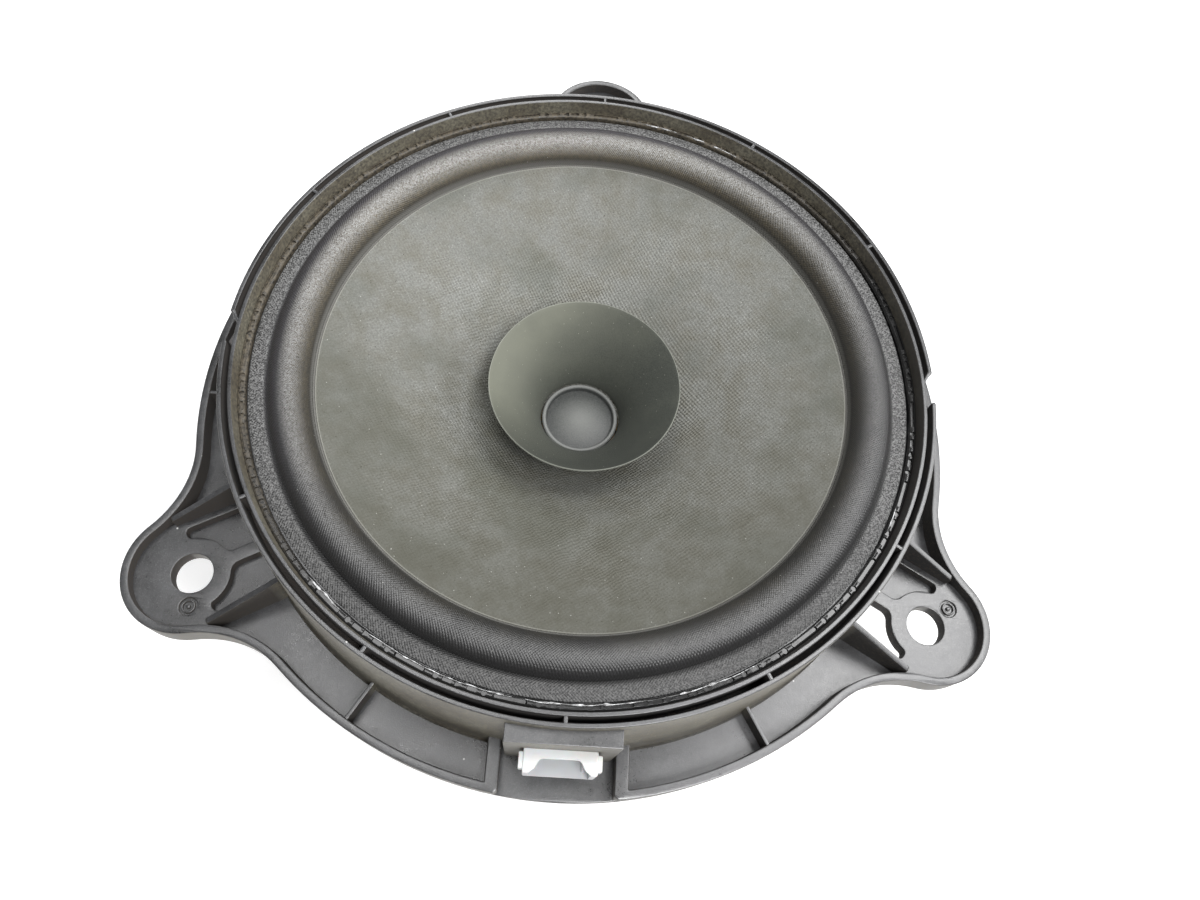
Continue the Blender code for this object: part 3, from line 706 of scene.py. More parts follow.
def make_coil():
    """Two layers of wire, seen as turns on the outer layer."""
    low, high = low_of("voice_coil"), high_of("voice_coil")
    turns = 36
    pitch = (high[2] - low[2]) / turns
    section = [(high[0] - 0.7, low[2]), (high[0] - 0.7, high[2])]
    for turn in reversed(range(turns)):
        middle = low[2] + pitch * (turn + 0.5)
        for height, depth in ((0.42, 0.09), (0.22, 0.0), (-0.22, 0.0), (-0.42, 0.09)):
            section.append((high[0] - depth, middle + pitch * height))
    return revolved("coil_winding", section, SMALL_STEPS, smooth_angle=60.0)


def make_solder_pad(number):
    """A solder tag on the former, with its blob of solder."""
    low, high = low_of(f"coil_solder_pad_{number}"), high_of(f"coil_solder_pad_{number}")
    tag = block(f"solder_tag_{number}", (low[0], high[1] - 0.2, low[2]), high, 0.06)
    work = bmesh.new()
    bmesh.ops.create_uvsphere(work, u_segments=24, v_segments=14, radius=1.0)
    centre = middle_of(low, high)
    for vertex in work.verts:
        lump = 1.0 + 0.12 * noise.noise(vertex.co * 1.4 + Vector((number * 5.0, 0, 0)))
        vertex.co = vertex.co * lump
    bmesh.ops.scale(work, vec=(0.62, 0.22, 0.68), verts=work.verts)
    bmesh.ops.translate(work, vec=(centre[0], low[1] + 0.24, centre[2]), verts=work.verts)
    return combined(tag, [new_object("solder", work)])


# ---------------------------------------------------------------- motor

MAGNET_Z = (low_of("magnet")[2], high_of("magnet")[2])
MAGNET_R = (17.0, high_of("magnet")[0])
YOKE_R = high_of("pole_yoke")[0]
YOKE_PLATE = 6.0
POLE_R = 9.35
POLE_Z = high_of("pole_yoke")[2]
TOP_PLATE_R = (11.15, high_of("top_plate")[0])
TOP_PLATE_Z = (low_of("top_plate")[2], high_of("top_plate")[2])


def make_magnet():
    """The ferrite ring, with a few chips in its edges."""
    (inner, outer), (low, high) = MAGNET_R, MAGNET_Z
    section = rounded([(outer, high, 1.1), (outer, low, 1.1), (inner, low, 0.8), (inner, high, 0.8)])
    side = [(outer, low + (high - low) * step / 12) for step in range(10, 1, -1)]
    section = section[:5] + side + section[5:]

    def fired(radius, height, angle):
        spot = Vector(around(radius, angle, height))
        chip = max(0.0, noise.noise(spot * 0.35 + Vector((7, 3, 1))) - 0.42)
        near_edge = 1.0 if radius > outer - 1.5 and min(height - low, high - height) < 1.3 else 0.0
        return radius - 0.04 * abs(noise.noise(spot * 0.5)) - 1.8 * chip * near_edge, height

    return revolved("ferrite_ring", section, FINE_STEPS, fired)


def make_yoke():
    """The back plate and the pole, turned in one piece, with a centre mark and a turned step behind."""
    section = [(0.0, POLE_Z - 0.5), (1.2, POLE_Z - 0.5), (2.0, POLE_Z)]
    section += rounded([
        (POLE_R, POLE_Z, 0.7),
        (POLE_R, YOKE_PLATE, 2.0),
        (YOKE_R, YOKE_PLATE, 1.1),
        (YOKE_R, 0.0, 1.1),
        (13.0, 0.0, 0.0),
        (12.6, 0.45, 0.1),
        (3.2, 0.45, 0.2),
        (2.2, 1.5, 0.2),
        (0.9, 1.6, 0.2),
        (2.0, 12.0, 0.0),
    ])[:-1]
    section.append((0.0, 1.65))
    return revolved("turned_yoke", section, STEPS)


def make_top_plate():
    """The front plate of the motor, with a hole for each rivet."""
    (inner, outer), (low, high) = TOP_PLATE_R, TOP_PLATE_Z
    corners = [(outer, high, 0.6), (outer, low, 0.25), (inner, low, 0.15), (inner, high, 0.15)]
    ring = revolved("pressed_plate", rounded(corners), STEPS)
    return combined(ring, cut=rivet_holes(low - 2.0, high + 2.0))


def make_rivet(number):
    """An upset rivet with a dimple in its head."""
    low, high = low_of(f"motor_rivet_{number}"), high_of(f"motor_rivet_{number}")
    centre = middle_of(low, high)
    radius = (high[0] - low[0]) / 2
    top, seat = high[2], high[2] - 1.5
    section = [(0.0, top - 0.5), (0.55, top - 0.45), (0.95, top - 0.05), (1.4, top), (2.1, top - 0.2)]
    section += [(radius - 0.3, top - 0.75), (radius, top - 1.15), (radius, seat)]
    section += [(RIVET_SHANK_R, seat), (RIVET_SHANK_R, low[2]), (0.0, low[2])]
    piece = revolved(f"rivet_{number}", section, 48)
    piece.data.transform(Matrix.Translation((centre[0] * MM, centre[1] * MM, 0.0)))
    return piece


# ---------------------------------------------------------------- socket, leads and glue

HOUSING_WALL = 1.4
NOTCH_HALF = 4.6
NOTCH_DEPTH = 2.9
RAIL_X = 5.2
RAIL_HALF = 0.45
PIN_X = 2.4
PIN_TIP = 0.45  # of its full width
LEAD_R = 0.5
LEAD_SIDES = 12
BRAID_TURN = 4.4  # radians in a millimetre


def make_housing():
    """The two-way socket: open in front, with a keyway in its top wall and a guide lug on each side."""
    low, high = low_of("socket_housing"), high_of("socket_housing")
    half, (_, low_y, low_z), (_, high_y, high_z) = HOUSING_HALF, low, high
    body = block("two_way_socket", (-half, low_y, low_z), (half, high_y, high_z), 0.35)
    inner = half - HOUSING_WALL
    cavity_high = (inner, high_y - 2.0, high_z - HOUSING_WALL)
    cavity = block("cavity", (-inner, low_y - 4.0, low_z + HOUSING_WALL), cavity_high, 0.4)
    wide, narrow, back = NOTCH_HALF + 0.65, NOTCH_HALF - 0.5, low_y + NOTCH_DEPTH
    flare, lip = wide + 1.1, low_y + 0.9
    keyway = [(flare, low_y - 1.0), (flare, low_y + 0.1), (wide, lip, 0.9), (narrow, back, 1.1)]
    keyway = rounded([*keyway, *((-x, *rest) for x, *rest in reversed(keyway))])
    middle = (low_z + high_z) / 2
    cuts = [cavity, plate("keyway", [keyway], high_z - 3.0, high_z + 2.0, 0.0)]
    lugs = []
    for side in (-1, 1):
        near, far = sorted((side * (half - 0.5), side * (half + 0.9)))
        lugs.append(block("lug", (near, low_y + 0.8, middle), (far, BOX_FRONT_Y - 0.6, high_z - 0.4), 0.2))
        slot = 0.65
        centre = side * PIN_X
        hole = (centre - slot, -84.0, middle - slot), (centre + slot, -78.0, middle + slot)
        cuts.append(block("pin_hole", *hole, 0))
    floor = low_z + HOUSING_WALL
    rails = []
    for side in (-1, 1):
        near, far = side * RAIL_X - RAIL_HALF, side * RAIL_X + RAIL_HALF
        size = (near, low_y + 1.2, floor - 0.4), (far, high_y - 2.2, floor + 0.7)
        rails.append(block("rail", *size, 0.15))
    return combined(carved(body, lugs, cuts), rails)


def make_pin(number):
    """A square pin with a tapered tip."""
    low, high = low_of(f"terminal_pin_{number}"), high_of(f"terminal_pin_{number}")
    work = new_box(low, high)
    everything = work.verts[:] + work.edges[:] + work.faces[:]
    bmesh.ops.bisect_plane(work, geom=everything, plane_co=(0, low[1] + 0.9, 0), plane_no=(0, 1, 0))
    centre_x, _, centre_z = middle_of(low, high)
    for vertex in work.verts:
        if vertex.co.y < low[1] + 0.1:
            vertex.co.x = centre_x + (vertex.co.x - centre_x) * PIN_TIP
            vertex.co.z = centre_z + (vertex.co.z - centre_z) * PIN_TIP
    bmesh.ops.bevel(work, geom=work.edges[:], offset=0.07, segments=2, profile=0.5, affect="EDGES")
    return new_object(f"pin_{number}", work)


def catmull_rom(t, p, q, r, s):
    """The value a share t of the way from q to r, with p before them and s after."""
    bend, swing = 2 * p - 5 * q + 4 * r - s, 3 * q - p - 3 * r + s
    return 0.5 * (2 * q + (r - p) * t + bend * t**2 + swing * t**3)


def smooth_route(route, count):
    """A smooth line through the points of a route, with a count of steps between two of them."""
    points = []
    ends = [route[0], *route, route[-1]]
    for a, b, c, d in zip(ends, ends[1:], ends[2:], ends[3:]):
        for step in range(count):
            points.append(Vector([catmull_rom(step / count, *values) for values in zip(a, b, c, d)]))
    return points + [Vector(route[-1])]


def make_lead(number):
    """A braided tinsel lead from the coil's solder tag to its terminal pin."""
    side = -1 if number == 1 else 1
    housing_middle = (low_of("socket_housing")[2] + high_of("socket_housing")[2]) / 2
    route = [
        (side * 3.4, -11.0, 36.5),
        (side * 3.9, -16.0, 38.8),
        (side * 4.2, -27.0, 42.0),
        (side * 4.0, -42.0, 43.6),
        (side * 3.4, -57.0, 45.6),
        (side * 2.8, -69.0, 50.4),
        (side * PIN_X, -76.8, housing_middle),
    ]
    points = smooth_route(route, 30)
    work = bmesh.new()
    rings = []
    travelled = 0.0
    for index, point in enumerate(points):
        ahead = points[min(index + 1, len(points) - 1)] - points[max(index - 1, 0)]
        along = ahead.normalized()
        right = along.cross(Vector((0, 0, 1))).normalized()
        up = right.cross(along)
        if index:
            travelled += (point - points[index - 1]).length
        ring = []
        twist = BRAID_TURN * travelled
        for step in range(LEAD_SIDES):
            angle = 2 * math.pi * step / LEAD_SIDES
            braid = math.cos(3 * angle + twist) * math.cos(3 * angle - twist)
            radius = LEAD_R * (0.91 + 0.09 * braid)
            ring.append(work.verts.new(point + radius * (math.cos(angle) * right + math.sin(angle) * up)))
        rings.append(ring)
    add_tube(work, rings)
    piece = new_object(f"braided_lead_{number}", work, 60.0)
    [v * MM for v in route[-1]]
    [v * MM for v in route[0]]
    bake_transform(piece)
    return piece


BEAD_R = (SURROUND_R + 0.35, RIM_R - 0.6)
BEAD_Z = SURROUND_Z + 1.0
MARK_R = 78.65
MARK_ROWS = 23
MARK_ROW = ((0.0, "dot"), (2.5, "bar"), (5.1, "wedge"), (7.8, "bar"), (10.3, "dot"), (15.6, "long"))
MARK_ROW_LENGTH = 2 * math.pi * MARK_R / MARK_ROWS


def bead_marks():
    """Shallow marks in repeating rows, as one closed mesh for each mark in a single object."""
    shapes = {
        "dot": arc(0.66, 0, 330, 12),
        "wedge": rounded([(-0.95, -0.66), (1.05, 0.0), (-0.95, 0.66)], 0.2, 2),
        "bar": rounded([(-1.15, -0.46), (1.15, -0.46), (1.15, 0.46), (-1.15, 0.46)], 0.3, 2),
        "long": rounded([(-3.6, -0.42), (3.6, -0.42), (3.6, 0.42), (-3.6, 0.42)], 0.3, 2),
    }
    work = bmesh.new()
    for row in range(MARK_ROWS):
        for start, kind in MARK_ROW:
            at = (row * MARK_ROW_LENGTH + start) / MARK_R
            rings = []
            for height, inset in ((BEAD_Z - 0.45, 0.1), (BEAD_Z + 0.5, -0.1)):
                ring = []
                for x, y in shapes[kind]:
                    radius, angle = MARK_R + y * (1 - inset), at + x * (1 - inset) / MARK_R
                    ring.append(work.verts.new(around(radius, angle, height)))
                rings.append(ring)
            add_tube(work, rings)
    return new_object("marks", work)


def make_bead():
    """The swaged lip that holds the surround's edge: uneven inside, with rows of shallow marks on top."""
    inner, outer = BEAD_R
    low, high = SEAT_Z + 0.2, BEAD_Z
    section = [(outer + 0.1, high - 0.3), (outer - 0.15, high - 0.05), (outer - 0.5, high)]
    section += [(inner + 0.95, high), (inner + 0.5, high - 0.03), (inner + 0.15, high - 0.2)]
    section += [(inner, high - 0.5), (inner, low), (outer + 0.1, low)]

    def swaged(radius, height, angle):
        spot = Vector(around(9.0, angle, 0.0))
        edge = max(0.0, 1.0 - (radius - inner) / 0.8)
        ragged = noise.noise(spot) + 0.6 * noise.noise(spot * 3.1)
        sag = noise.noise(spot * 0.7 + Vector((4, 4, 4)))
        top = 1.0 if height > low + 0.1 else 0.0
        return radius + edge * top * 0.22 * (ragged - 0.15), height + top * 0.08 * (sag - 0.3)

    return combined(revolved("swaged_bead", section, 720, swaged, 50.0), cut=[bead_marks()])


# Start and end of each run of glue round the bead, in degrees
GLUE_RUNS = (
    (226.0, 233.0),
    (238.0, 262.0),
    (264.0, 281.0),
    (287.0, 300.0),
    (333.0, 337.0),
    (62.0, 67.0),
    (69.0, 73.0),
    (75.0, 82.0),
)
GLUE_SIDES = 8


def make_glue(number, start, end):
    """A run of dried glue along the bead's inner edge: a thin, uneven string with thicker drops."""
    steps = int((end - start) * 8)
    work = bmesh.new()
    rings = []
    for step in range(steps + 1):
        part = step / steps
        angle = start + (end - start) * part
        spot = Vector((angle * 0.35, number * 7.0, 0.0))
        fat = 0.06 + 0.26 * max(0.0, noise.noise(spot * 2.2)) + 0.04 * noise.noise(spot * 9.0)
        fat = max(fat, 0.02) * math.sin(math.pi * min(max(part, 0.004), 0.996)) ** 0.3
        radius = BEAD_R[0] + 0.35 + 0.2 * noise.noise(spot * 1.3 + Vector((0, 0, 5)))
        ring = []
        for side in range(GLUE_SIDES):
            turn = 2 * math.pi * side / GLUE_SIDES
            x, y = polar(radius + 1.5 * fat * math.cos(turn), angle)
            ring.append(work.verts.new((x, y, BEAD_Z - 0.05 + 0.8 * fat * math.sin(turn))))
        rings.append(ring)
    add_tube(work, rings)
    return new_object(f"dried_glue_{number}", work, 70.0)


# ---------------------------------------------------------------- materials


class Varying:
    """A number that varies over a surface. Arithmetic on it adds nodes to its material."""

    def __init__(self, look, socket):
        self.look = look
        self.socket = socket

    def __add__(self, other):
        return self.look.math("ADD", self, other)

    def __sub__(self, other):
        return self.look.math("SUBTRACT", self, other)

    def __rsub__(self, other):
        return self.look.math("SUBTRACT", other, self)

    def __mul__(self, other):
        return self.look.math("MULTIPLY", self, other)

    def remap(self, low, high, to_low=0.0, to_high=1.0):
        """The number moved from one range to another and kept inside it."""
        inputs = {"Value": self, "From Min": low, "From Max": high, "To Min": to_low, "To Max": to_high}
        return self.look.varying("ShaderNodeMapRange", inputs, "Result")


class Finish:
    """A procedural material under construction. Sizes are in millimetres of the part's own frame."""

    def __init__(self, name, **shader):
        self.material = bpy.data.materials.new(name)
        self.material.use_nodes = True
        self.tree = self.material.node_tree
        self.shader = self.tree.nodes["Principled BSDF"]
        for key, value in shader.items():
            self.shader.inputs[key.replace("_", " ")].default_value = value
        self.place = self.add("ShaderNodeTexCoord", {}).outputs["Object"]
        self.normal = None

    def feed(self, socket, value):
        """Links an input to a varying number or an output, or sets it to a plain value."""
        if isinstance(value, Varying):
            value = value.socket
        if isinstance(value, bpy.types.NodeSocket):
            self.tree.links.new(value, socket)
        else:
            socket.default_value = (*value, 1.0) if socket.type == "RGBA" else value

    def add(self, kind, inputs, **settings):
        node = self.tree.nodes.new(kind)
        for key, value in settings.items():
            setattr(node, key, value)
        for key, value in inputs.items():
            self.feed(node.inputs[key], value)
        return node

    def varying(self, kind, inputs, output, **settings):
        return Varying(self, self.add(kind, inputs, **settings).outputs[output])

    def math(self, operation, a, b=0.0):
        return self.varying("ShaderNodeMath", {0: a, 1: b}, 0, operation=operation)

    def axes(self):
        """x, y, z, distance from the axis and angle about it, in millimetres and radians."""
        parts = self.add("ShaderNodeSeparateXYZ", {0: self.place}).outputs
        x, y, z = (Varying(self, part) * (1 / MM) for part in parts)
        return x, y, z, self.math("SQRT", x * x + y * y), self.math("ARCTAN2", y, x)

    def facing(self, x, y, radius):
        """How far the surface faces up, and how far it faces away from the axis."""
        normal = self.add("ShaderNodeNewGeometry", {}).outputs["Normal"]
        parts = self.add("ShaderNodeSeparateXYZ", {0: normal}).outputs
        along_x, along_y, up = (Varying(self, part) for part in parts)
        return up, self.math("DIVIDE", along_x * x + along_y * y, radius)

    def noise(self, size, detail=2.0, roughness=0.5, place=None):
        """Cloud noise, about 0.5 on average, with features of the given size."""
        inputs = {"Vector": place or self.place, "Scale": 1 / (size * MM)}
        inputs.update({"Detail": detail, "Roughness": roughness})
        return self.varying("ShaderNodeTexNoise", inputs, "Fac")

    def flecks(self, size, share, spread):
        """Small round flecks, one in a share of the cells of the given size."""
        cells = self.add("ShaderNodeTexVoronoi", {"Vector": self.place, "Scale": 1 / (size * MM)}).outputs
        dot = Varying(self, cells["Distance"]).remap(spread * 0.6, spread, 1.0, 0.0)
        pick = self.add("ShaderNodeSeparateColor", {0: cells["Color"]}).outputs[0]
        return dot * self.math("LESS_THAN", pick, share)

    def mix(self, factor, first, second):
        """The first colour, going over to the second as the factor goes from 0 to 1."""
        inputs = {"Factor": factor, 6: first, 7: second}
        return self.add("ShaderNodeMix", inputs, data_type="RGBA").outputs[2]

    def relief(self, height, depth):
        """Raises the surface by a height from 0 to 1, of a depth in millimetres, over what is there."""
        inputs = {"Height": height, "Distance": depth * MM, "Strength": 1.0}
        if self.normal:
            inputs["Normal"] = self.normal
        self.normal = self.add("ShaderNodeBump", inputs).outputs["Normal"]

    def done(self, colour, roughness):
        self.feed(self.shader.inputs["Base Color"], colour)
        self.feed(self.shader.inputs["Roughness"], roughness)
        if self.normal:
            self.feed(self.shader.inputs["Normal"], self.normal)
        return self.material


def wall_dust_and_painted_light(look, x, y, radius, fuzz):
    """How much pale dust a wall of the basket carries: inside the rim, outside it in front, and on the
    left. Inside the rim it is heaviest on the far and left parts, the sides that face the light, so there
    it is partly painted light.
    """
    # Partly painted light: the dust inside the rim grows towards the far and left walls, which face the
    # light.
    inside = radius.remap(RIM_R + 0.5, RIM_R + 0.2) * (y - x * 0.9).remap(-90.0, 10.0)
    front = radius.remap(OUTER_WALL_R - 0.4, OUTER_WALL_R - 0.2) * y.remap(10.0, -45.0)
    front = front * radius.remap(WALL_FOOT_R + 2.5, WALL_FOOT_R + 0.8, 0.3, 1.0)
    left = radius.remap(WALL_FOOT_R, WALL_FOOT_R + 1.0) * x.remap(40.0, -60.0, 0.0, 0.3)
    return look.math("MAXIMUM", inside, front + left) * fuzz.remap(0.36, 0.62, 0.15, 1.0)


def shelter(look, z, radius, up, outward):
    """The inner faces of the flange's walls and the rim's channel, where no light comes."""
    walls = radius.remap(WALL_FOOT_R + 0.4, WALL_FOOT_R + 2.5) * outward.remap(0.5, 0.1)
    walls = walls * up.remap(0.5, 0.2)
    channel_in, channel_out = CHANNEL_R
    channel = radius.remap(channel_in - 0.2, channel_in - 0.1)
    channel = channel * radius.remap(channel_out + 0.2, channel_out + 0.1)
    return look.math("MAXIMUM", walls, channel * z.remap(RIM_Z - 0.3, RIM_Z - 0.8))


def basket_plastic():
    """Black glass-filled plastic: satin with a grey film on top, brown dust on the rim's walls that is
    partly painted light, and a painted sheen on the level faces at front right.
    """
    look = Finish("basket_plastic_finish", IOR=1.5, Specular_IOR_Level=1.0)
    x, y, z, radius, _ = look.axes()
    up, outward = look.facing(x, y, radius)
    level = up.remap(0.3, 0.85)
    patches = look.noise(11.0, 6.0, 0.65)
    fuzz = look.noise(0.7, 4.0, 0.75)
    grain = look.noise(0.3, 2.0, 0.6)
    dust = look.mix(patches.remap(0.35, 0.65), (0.125, 0.106, 0.07), (0.215, 0.2, 0.148))
    dust = look.mix(look.flecks(1.1, 0.3, 0.16), dust, (0.4, 0.36, 0.24))
    wall = look.mix(patches, (0.02, 0.018, 0.016), (0.032, 0.028, 0.025))
    wall = look.mix(wall_dust_and_painted_light(look, x, y, radius, fuzz), wall, dust)
    film = look.mix(patches.remap(0.38, 0.62), (0.02, 0.02, 0.021), (0.062, 0.063, 0.067))
    film = look.mix(fuzz.remap(0.36, 0.66, 0.5, 0.0), film, (0.012, 0.012, 0.012))
    film = look.mix(grain.remap(0.55, 0.7, 0.0, 0.22), film, (0.2, 0.2, 0.205))
    colour = look.mix(level, wall, film)
    # Painted sheen: level faces at the front right are painted a lighter grey, as the reflection the trays
    # there catch.
    painted_sheen = y.remap(-55.0, -75.0) * x.remap(5.0, 35.0, 0.0, 0.5)
    colour = look.mix(painted_sheen * level, colour, (0.13, 0.13, 0.136))
    underside = up.remap(-0.6, -0.05, 0.85, 0.0)
    colour = look.mix(underside, colour, (0.022, 0.022, 0.023))
    sheltered = shelter(look, z, radius, up, outward)
    shade = look.mix(x.remap(30.0, -60.0), (0.006, 0.005, 0.005), (0.05, 0.043, 0.038))
    shade = look.mix(fuzz.remap(0.5, 0.7), shade, (0.06, 0.044, 0.03))
    colour = look.mix(sheltered, colour, shade)
    colour = look.mix(look.flecks(2.6, 0.1, 0.1) * level, colour, (0.6, 0.6, 0.58))
    look.relief(grain, 0.02)
    look.relief(look.noise(7.0, 2.0), 0.06)
    matt = fuzz.remap(0.3, 0.7, 0.45, 0.65)
    satin = fuzz.remap(0.3, 0.7, 0.24, 0.33) + patches.remap(0.35, 0.65, 0.0, 0.07)
    roughness = look.varying("ShaderNodeMix", {0: level, 2: matt, 3: satin}, 0)
    return look.done(colour, look.math("MAXIMUM", roughness, sheltered * 0.9))


def surround_rubber():
    """Black rubber with fine dimples: brown dust inside the roll, a violet bloom outside, a pale crest that
    is painted highlight with some wear, painted shade in the hollows beside the roll, and a painted shadow
    on the flange in front.
    """
    look = Finish("surround_rubber_finish", IOR=1.5, Specular_IOR_Level=0.8)
    x, y, z, radius, angle = look.axes()
    inner, outer = ROLL_R
    grain = look.noise(0.4, 3.0, 0.65)
    patches = look.noise(9.0, 4.0, 0.6)
    # More dust on the far and left side; the same mask moves the crest's painted highlight inwards and
    # brightens it on the far side.
    far_dust_and_highlight = (y - x * 0.4).remap(-30.0, 60.0, 0.1, 1.0) + patches.remap(0.3, 0.7, -0.1, 0.1)
    outside = radius.remap(inner + 3.5, outer - 3.0)
    bloom = look.mix(outside, (0.1, 0.082, 0.05), (0.04, 0.037, 0.042))
    speckle = far_dust_and_highlight * look.noise(0.7, 3.0, 0.8).remap(0.35, 0.62, 0.35, 1.0)
    colour = look.mix(speckle, (0.014, 0.014, 0.014), bloom)
    # Painted highlight with some wear: a pale band along the crest, nearer the inner slope and brighter on
    # the far side, where the lights catch it.
    crest_r = (inner + outer) / 2 - far_dust_and_highlight * 1.3
    from_crest = look.math("ABSOLUTE", radius - crest_r)
    wear_and_painted_highlight = look.mix(far_dust_and_highlight, (0.06, 0.06, 0.06), (0.33, 0.33, 0.322))
    colour = look.mix(from_crest.remap(2.8, 0.6) * grain.remap(0.34, 0.66), colour, wear_and_painted_highlight)
    # Painted shade: the lowest parts of the rubber, in the hollows on both sides of the roll, are painted
    # near black.
    valley_shade = z.remap(SURROUND_Z - 1.2, SURROUND_Z + 0.8, 0.85, 0.0)
    colour = look.mix(valley_shade, colour, (0.008, 0.008, 0.008))
    # Painted highlight: a thin pale band on the small bead just outside the cone's edge.
    lip_top_highlight = radius.remap(CONE_R, CONE_R + 0.1) * radius.remap(CONE_R + 0.8, CONE_R + 0.5)
    colour = look.mix(lip_top_highlight * 0.6, colour, (0.25, 0.245, 0.225))
    # Painted shadow: the flange's pale grain speckles are painted darker at the front, where the rim wall
    # shades it.
    bright = look.mix(y.remap(-60.0, -25.0), (0.1, 0.099, 0.098), (0.2, 0.2, 0.198))
    flange = look.mix(grain.remap(0.42, 0.62), (0.012, 0.012, 0.012), bright)
    colour = look.mix(radius.remap(outer + 0.5, outer + 0.9), colour, flange)
    colour = look.mix(look.flecks(1.3, 0.05, 0.1), colour, (0.35, 0.35, 0.33))
    side_by_side = look.math("COSINE", angle * round(2 * math.pi * outer / DIMPLE_PITCH))
    in_rows = look.math("COSINE", (radius + z * 0.6) * (2 * math.pi / DIMPLE_PITCH))
    look.relief((side_by_side * in_rows).remap(-1.0, 1.0), 0.1)
    look.relief(grain, 0.08)
    return look.done(colour, grain.remap(0.3, 0.7, 0.34, 0.55) + valley_shade * 0.4)


def swaged_plastic():
    """The same plastic as the basket, melted glossy, under brown dust on its far and left side."""
    look = Finish("edge_glue_finish", IOR=1.5, Specular_IOR_Level=0.6)
    x, y, _, _, _ = look.axes()
    dust_with_painted_light = (y - x * 0.7).remap(-20.0, 50.0) * look.noise(0.8, 3.0, 0.7).remap(0.36, 0.6, 0.1, 0.9)
    colour = look.mix(dust_with_painted_light, (0.01, 0.01, 0.01), (0.12, 0.1, 0.07))
    look.relief(look.noise(2.5, 2.0), 0.05)
    return look.done(colour, dust_with_painted_light.remap(0.0, 0.5, 0.2, 0.6))


def dried_glue():
    """Clear glue, whitened where it is thick."""
    look = Finish("dried_glue_finish", IOR=1.5, Specular_IOR_Level=1.0, Transmission_Weight=0.2)
    tone = look.noise(1.4, 3.0)
    colour = look.mix(tone.remap(0.42, 0.6), (0.2, 0.2, 0.2), (0.78, 0.79, 0.8))
    look.relief(look.noise(0.6, 2.0), 0.04)
    return look.done(colour, tone.remap(0.3, 0.7, 0.08, 0.22))


def cloth_emboss(look, x, y, pitch, lean):
    """Height of a weave: two crossing sets of threads at an angle, slightly uneven."""
    cos, sin = math.cos(math.radians(lean)) / pitch, math.sin(math.radians(lean)) / pitch
    drift = look.noise(5.0, 3.0, 0.6).remap(0.3, 0.7, -0.35, 0.35)
    warp, weft = (
        look.math("COSINE", (position + drift) * (2 * math.pi))
        for position in (x * cos + y * sin, y * cos - x * sin)
    )
    return (warp * weft).remap(-1.0, 1.0)


def cone_paper():
    """Grey pressed pulp, blotched brown and olive, with the former's cloth printed in it near the neck."""
    look = Finish("cone_paper_finish", IOR=1.45)
    x, y, _, radius, _ = look.axes()
    fibres = look.noise(0.45, 4.0, 0.75)
    patches = look.noise(9.0, 8.0, 0.72)
    stains = look.noise(28.0, 4.0, 0.55)
    near_neck = radius.remap(CONE_R - 4.0, WHIZZER_R + 6.0, 0.2, 1.0)
    wear_and_painted_highlight = look.noise(18.0, 3.0).remap(0.35, 0.6, 0.35, 1.0)
    printed = cloth_emboss(look, x, y, 1.05, 80.0) * (near_neck * wear_and_painted_highlight)
    colour = look.mix(fibres.remap(0.3, 0.7), (0.135, 0.138, 0.124), (0.365, 0.37, 0.352))
    colour = look.mix(patches.remap(0.42, 0.7, 0.0, 0.5), colour, (0.18, 0.16, 0.108))
    colour = look.mix(stains.remap(0.48, 0.64, 0.0, 0.55), colour, (0.11, 0.118, 0.095))
    # Painted shade: the cone is painted darker towards its near side, broken up by random patches.
    painted_shade_near = y.remap(34.0, -55.0, 0.0, 0.75) + patches.remap(0.3, 0.7, -0.2, 0.2)
    colour = look.mix(painted_shade_near, colour, (0.08, 0.078, 0.06))
    colour = look.mix(printed.remap(0.0, 0.6, 0.42, 0.0), colour, (0.05, 0.05, 0.038))
    colour = look.mix(look.flecks(0.9, 0.12, 0.13), colour, (0.45, 0.45, 0.42))
    colour = look.mix(look.flecks(1.1, 0.2, 0.15), colour, (0.05, 0.047, 0.035))
    # Painted highlight: the outermost band of the cone's cut edge is painted pale, as the lit line along
    # it.
    cut_edge = radius.remap(CONE_R - 0.4, CONE_R - 0.25, 0.0, 0.35)
    colour = look.mix(cut_edge, colour, (0.38, 0.375, 0.34))
    look.relief(printed, 0.26)
    look.relief(fibres, 0.14)
    return look.done(colour, fibres.remap(0.3, 0.7, 0.5, 0.8))


